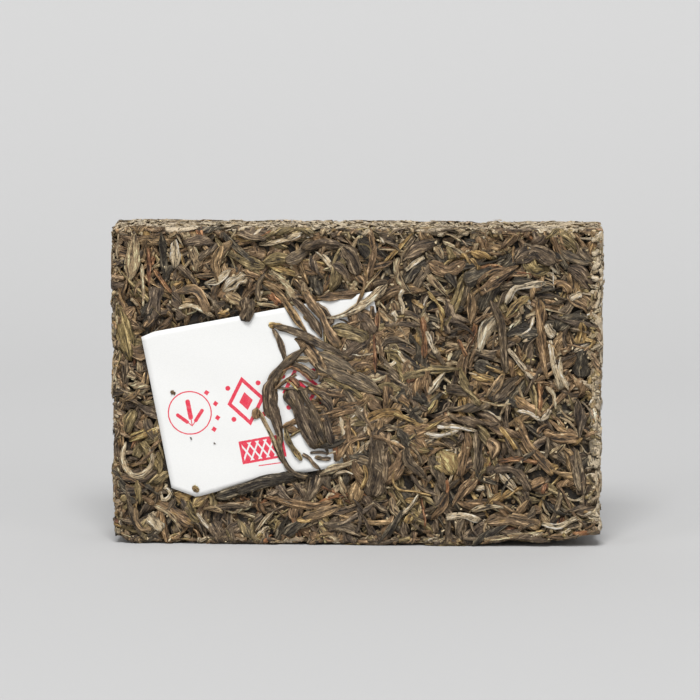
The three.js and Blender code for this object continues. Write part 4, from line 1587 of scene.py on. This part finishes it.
# Broken bits along the right edge and the foot: how many, where from the edge, and their sizes and finishes
BITS = {"right": 160, "foot": 70}
BIT_PLACES = {"right": (-3.4, 0.8), "foot": (-0.4, 2.6)}
BIT_LENGTHS, BIT_WIDTHS = (1.6, 4.2), (0.8, 1.8)
BIT_BEND, BIT_SWAY = 0.4, 0.2
BITS_MIX = [("dark", 2), ("brown", 4), ("olive", 5), ("golden", 2), ("tan", 7), ("pale", 5), ("russet", 1)]

# How the shades change over the front: lighter leaves towards the top and darker ones towards the foot, dust
# at the right edge, a foot darkened as painted shade, and a few tan leaves in the middle of the top
LIGHTER_UP, DARKER_DOWN = 0.4, 0.3
DUSTY_EDGE, MORE_DUST = 2.2, 0.9
SHADED_FOOT, SHADED_FOOT_SHARE = 4.0, 0.7
DARKER = {"tan": "brown", "pale": "brown", "golden": "brown", "brown": "dark"}
LIGHT_TOP = {"above": 0.4, "half_width": 30, "share": 0.22}

# A speck's heading, its length over its width, its bend, its flatness, and its height over its width
SPECK = {"heading": -0.7, "length": 1.6, "bend": 0.1, "flat": 0.35, "over": 0.12}


def near_ticket(u, v, h):
    """Lowers the front's leaves under the ticket and just round it, as the paper pressed them."""
    under = smooth_step(inside_ticket(u, v + HEIGHT / 2), *PUSHED_BAND)
    low = PAPER_BED - UNDER_BED + RISE_LEFT * np.maximum(h, 0) + DIP_LEFT * np.minimum(h, 0)
    return h * (1 - under) + low * under


def in_mound(x, z, spare=0.0):
    """How far out from the mound's middle a place of the front lies: below 1 inside it, above 1 outside."""
    across, up = MOUND["across"] + spare, MOUND["up"] + spare
    return ((x - MOUND["x"]) / across) ** 2 + ((z - MOUND["z"]) / up) ** 2


def covering(rng, count):
    """Leaves that bury the ticket's right end. None of them reaches out over its open part."""
    for leaf in scattered(FRONT_FACE, rng, count):
        x, z = leaf["line"][:, 0], leaf["line"][:, 1] + HEIGHT / 2
        inside = in_mound(x[len(x) // 2], z[len(z) // 2]) < 1
        if inside and in_mound(x, z, MOUND_SPARE).max() < MOUND_REACH:
            yield leaf


def buried(row):
    """Whether a traced leaf lies on the tea over the ticket's right end, by the second pixel of its line."""
    x, up = on_front(row[4])
    return in_mound(x, up + HEIGHT / 2, ON_MOUND) < 1


def rise_at_most(leaves, proud):
    """Heights over the mould for leaves laid after pressing, held under a height."""
    for leaf in leaves:
        middle = leaf["z"].mean(1, keepdims=True)
        leaf["h"] = soft_top(soft_top(middle, proud) + KEPT_SHAPE * (leaf["z"] - middle), HIGHEST)


def broken_bits(rng):
    """Small broken bits along the front's right edge and along its foot, where the brick has crumbled."""
    half = FRONT_FACE.half
    kinds, shares = zip(*BITS_MIX)
    odds = np.array(shares, float) / sum(shares)
    for number in range(BITS["right"] + BITS["foot"]):
        kind = kinds[rng.choice(len(kinds), p=odds)]
        if number < BITS["right"]:
            middle = (half[0] + rng.uniform(*BIT_PLACES["right"]), rng.uniform(-half[1], half[1]))
        else:
            middle = (rng.uniform(-half[0], half[0]), -half[1] + rng.uniform(*BIT_PLACES["foot"]))
        heading = rng.uniform(0, TURN)
        length = rng.uniform(*BIT_LENGTHS)
        line = arc_line("chip", middle, heading, length, rng.normal(0, BIT_BEND), BIT_SWAY, rng)
        yield leaf_shape(kind, "chip", line, rng.uniform(*BIT_WIDTHS), rng)


def shade_by_place(leaf):
    """Dusts the leaves at the front's right edge, darkens those at its foot as painted shade, and lightens
    some at its top.
    """
    x, up = leaf["line"].mean(0)
    chance, dust = leaf["tint"]
    half = FRONT_FACE.half
    if x > half[0] - DUSTY_EDGE:
        leaf["tint"] = (chance, dust + MORE_DUST)
    # Painted shade at the foot: darker kinds where less light reaches
    if up < SHADED_FOOT - half[1] and chance < SHADED_FOOT_SHARE:
        leaf["kind"] = DARKER.get(leaf["kind"], leaf["kind"])
    at_top = up > LIGHT_TOP["above"] * half[1] and abs(x) < LIGHT_TOP["half_width"]
    if at_top and leaf["kind"] == "brown" and chance < LIGHT_TOP["share"]:
        leaf["kind"] = "tan"


def front_leaves():
    """The front's bed and leaves: those of the pressed tea, then those over the ticket's right end."""
    rng = np.random.default_rng(SEEDS["front"])
    bed = Bed(FRONT_FACE)
    base = list(scattered(FRONT_FACE, rng, COUNTS["front"]))
    for leaf in base:
        up = leaf["line"][:, 1].mean() / FRONT_FACE.half[1]
        if leaf["kind"] == "dark" and rng.random() < LIGHTER_UP * up:
            leaf["kind"] = "brown"
        elif leaf["kind"] == "brown" and rng.random() < -DARKER_DOWN * up:
            leaf["kind"] = "dark"
    drawn_ones = list(drawn([row for row in STANDING_OUT if not buried(row)], rng))
    bits = list(broken_bits(rng))
    for leaf in base + bits:
        shade_by_place(leaf)
    base += drawn_ones + bits
    lay_all(bed, base)
    press(bed, base, PROUD["front"], plane=near_ticket)

    # The paper covers what lies under it
    u, v = bed.middles()
    inside = inside_ticket(u, v + HEIGHT / 2)
    level = paper_wave(*in_ticket(u, v + HEIGHT / 2)) + PAPER_LEVEL
    bed.owner[inside > WELL_INSIDE] = -1
    kept = shown(bed, base)
    bed.height = np.where(inside > 0, level, bed.height)
    bed.owner[:] = -1

    loose = list(covering(rng, COUNTS["mound"]))
    upper = list(drawn([row for row in STANDING_OUT if buried(row)], rng))
    cluster = list(drawn(OVER_TICKET, rng))
    lay_all(bed, loose + upper + cluster)
    rise_at_most(loose, PROUD["mound"])
    rise_at_most(upper, PROUD["upper"])
    rise_at_most(cluster, PROUD["loose"])
    bed.height = np.minimum(bed.height, HIGHEST)
    return bed, kept + shown(bed, loose + upper + cluster)


def specks(rng):
    """Specks of leaf that lie on the open paper."""
    for kind, size, pixel in SPECKS:
        x, v = on_front(pixel)
        line = arc_line("chip", (x, v), SPECK["heading"], size * SPECK["length"], SPECK["bend"], 0.0, rng)
        leaf = leaf_shape(kind, "chip", line, size, rng, flat=SPECK["flat"])
        level = paper_wave(*in_ticket(x, v + HEIGHT / 2)) + PAPER_LEVEL
        flat = line[:, None, :] + leaf["side"][:, None, :] * leaf["across"][..., None]
        leaf["u"], leaf["v"] = flat[..., 0], flat[..., 1]
        leaf["h"] = level + SPECK["over"] * size + leaf["thick"]
        yield leaf


# The back and the rim

# The rim's leaves lie along it, shorter and narrower. Dust lies on the top and the right side, and thinly on
# the others; on the top its paleness is also painted light from above. Some leaves stand up a little, away
# from the edges and the underside.
RIM_LENGTHS, RIM_WIDTHS = 0.7, 0.75
DUSTED_FROM = 1.5
DUSTED_AND_TOP_LIT, THINLY_DUSTED = (1.2, 2.2), (0.4, 1.3)
RAISED_SHARE = 0.15
RAISED_BY, RAISED_TO = (0.2, 0.5), 0.8
RAISED_FROM_EDGE = 0.8
UNDERSIDE_SINK, UNDERSIDE_RISE = 0.15, 0.15


def back_leaves():
    rng = np.random.default_rng(SEEDS["back"])
    bed = Bed(BACK_FACE)
    leaves = list(scattered(BACK_FACE, rng, COUNTS["back"]))
    lay_all(bed, leaves)
    press(bed, leaves, PROUD["back"])
    return bed, shown(bed, leaves)


def underneath(u):
    """How far a place of the rim lies on the underside, from 0 to 1."""
    z = np.interp(np.mod(u, RIM.length), RIM.at, RIM.points[:, 1])
    return smooth_step(-z, HEIGHT / 2 - CORNER, HEIGHT / 2 - 0.5 * CORNER)


def under_side(u, v, h):
    """Keeps the underside, which the brick stands on, flat."""
    under = underneath(u)
    flat = np.minimum(h, 0) - UNDERSIDE_SINK + UNDERSIDE_RISE * np.maximum(h, 0)
    return h * (1 - under) + flat * under


def rim_leaves():
    rng = np.random.default_rng(SEEDS["rim"])
    bed = Bed(RIM)
    spread = dict(mix=RIM_MIX, width_scale=RIM_WIDTHS, pull=0.0, scale=RIM_LENGTHS)
    leaves = list(scattered(RIM, rng, COUNTS["rim"], **spread))
    lay_all(bed, leaves)
    press(bed, leaves, PROUD["rim"], plane=under_side)
    leaves = shown(bed, leaves)
    for leaf in leaves:
        line = leaf["line"]
        reach = abs(line[:, 1]).max()
        middle = RIM.place(*line[len(line) // 2][:, None], np.zeros(1))[0]
        # The top and the right side get more dust; on the top this paleness is also painted light from above
        recoloured = middle[2] > HEIGHT - DUSTED_FROM or middle[0] > WIDTH / 2 - DUSTED_FROM
        recoloured = recoloured and reach < RIM.half[1]
        leaf["tint"] = (leaf["tint"][0], rng.uniform(*(DUSTED_AND_TOP_LIT if recoloured else THINLY_DUSTED)))
        if rng.random() < RAISED_SHARE and reach < RIM.half[1] - RAISED_FROM_EDGE:
            rise = min(rng.uniform(*RAISED_BY), max(RAISED_TO - leaf["h"].mean(), 0))
            leaf["h"] = leaf["h"] + rise * (1 - underneath(leaf["u"]))
    return bed, leaves


# All the pieces

# The kinds that have so many leaves that each side of the brick is a piece of its own
SPLIT_KINDS = ("dark", "brown")


def dress():
    """Makes every piece of the brick."""
    finishes = {kind: leaf_finish(f"{kind}_leaf", *look) for kind, look in LEAF_FINISHES.items()}
    front_bed, front = front_leaves()
    back_bed, back = back_leaves()
    rim_bed, rim = rim_leaves()
    front += list(specks(np.random.default_rng(SEEDS["specks"])))
    sides = {"front": (FRONT_FACE, front), "back": (BACK_FACE, back), "rim": (RIM, rim)}
    pieces = []
    for kind, finish in finishes.items():
        groups = {}
        for side, (face, leaves) in sides.items():
            groups[side] = [(face, leaf) for leaf in leaves if leaf["kind"] == kind]
        if kind in SPLIT_KINDS:
            for side, group in groups.items():
                pieces.append(leaf_piece(f"{kind}_leaves_{side}", group, finish))
        else:
            pieces.append(leaf_piece(f"{kind}_leaves", sum(groups.values(), []), finish))
    pieces.append(core_piece(core_finish()))
    pieces.append(crumbs_piece([front_bed, back_bed, rim_bed], crumb_finish()))
    for piece in pieces:
        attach(piece, "root")
        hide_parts("tea_brick")
    ticket = ticket_piece(ticket_finish())
    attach(ticket, "root")
    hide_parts("paper_ticket")


# The room: a seamless pale sweep, and large soft lights above the camera

# The sweep's floor, its curve up behind and its height, and its colour, which is lighter far away as painted
# light
SWEEP = {"near": -1200.0, "far": 350.0, "radius": 1000.0, "top": 3000.0, "half_width": 3000.0}
SWEEP_STEPS = 33
BACKDROP = (186, 186, 186)
FAR_PAINTED_LIGHT = 1.1
FAR_FROM, FAR_TO = 0.1, 1.2

# Each light's place and size in metres, and its power
LIGHTS = {
    "light_above": ((0.0, -2.7, 4.0), (2.2, 1.6), 228),
    "light_left": ((-2.8, -2.2, 1.6), (1.4, 1.4), 22),
    "light_right": ((2.8, -2.2, 1.6), (1.4, 1.4), 16),
}
SKY_STRENGTH = 0.35


def sweep():
    turns = np.linspace(0, np.pi / 2, SWEEP_STEPS)
    radius = SWEEP["radius"]
    profile = [(SWEEP["near"], 0.0)]
    profile += [(SWEEP["far"] + radius * math.sin(a), radius * (1 - math.cos(a))) for a in turns]
    profile.append((SWEEP["far"] + radius, SWEEP["top"]))
    points = [(x, y, z) for y, z in profile for x in (-SWEEP["half_width"], SWEEP["half_width"])]
    corners = []
    for i in range(len(profile) - 1):
        corners += [2 * i, 2 * i + 1, 2 * i + 3, 2 * i + 2]
    look = Finish("backdrop")
    # Painted light: the sweep is made lighter towards its far curve
    away = look.parts(look.place())[1].step(FAR_FROM, FAR_TO)
    base = look.mix(away, colour(*BACKDROP), colour(*BACKDROP, by=FAR_PAINTED_LIGHT))
    pale = look.cover(base, 0.9, specular=0.1)
    floor = mesh_object("backdrop", np.array(points), np.array(corners), np.full(len(profile) - 1, 4), pale)
    floor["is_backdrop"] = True


def area_light(name, place, aim, size, power):
    light = bpy.data.lights.new(name, "AREA")
    light.shape = "RECTANGLE"
    light.size, light.size_y = size
    light.energy = power
    lamp = bpy.data.objects.new(name, light)
    lamp.location = place
    lamp.rotation_euler = (Vector(aim) - Vector(place)).to_track_quat("-Z", "Y").to_euler()
    bpy.context.scene.collection.objects.link(lamp)


def room():
    sweep()
    middle = (0, 0, HEIGHT / 2 * MM)
    for name, (place, size, power) in LIGHTS.items():
        area_light(name, place, middle, size, power)
    world = bpy.data.worlds.new("studio")
    bpy.context.scene.world = world
    world.use_nodes = True
    sky = world.node_tree.nodes["Background"]
    sky.inputs["Color"].default_value = (1.0, 1.0, 1.0, 1.0)
    sky.inputs["Strength"].default_value = SKY_STRENGTH


def camera():
    shot = bpy.data.cameras.new("camera")
    shot.sensor_width = CAMERA["sensor"]
    shot.lens = CAMERA["sensor"] * CAMERA["distance"] / CAMERA["frame"]
    shot.clip_start, shot.clip_end = CLIP
    place, aim = camera_place()
    eye = bpy.data.objects.new("camera", shot)
    eye.location = place * MM
    eye.rotation_euler = (aim - place).to_track_quat("-Z", "Y").to_euler()
    bpy.context.scene.collection.objects.link(eye)
    bpy.context.scene.camera = eye


bpy.context.scene.view_settings.view_transform = "Standard"
camera()
room()
dress()


def corners(box):
    return [[float(value) for value in corner] for corner in box]


{"cad": corners(cad_box), "visual": corners(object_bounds())}
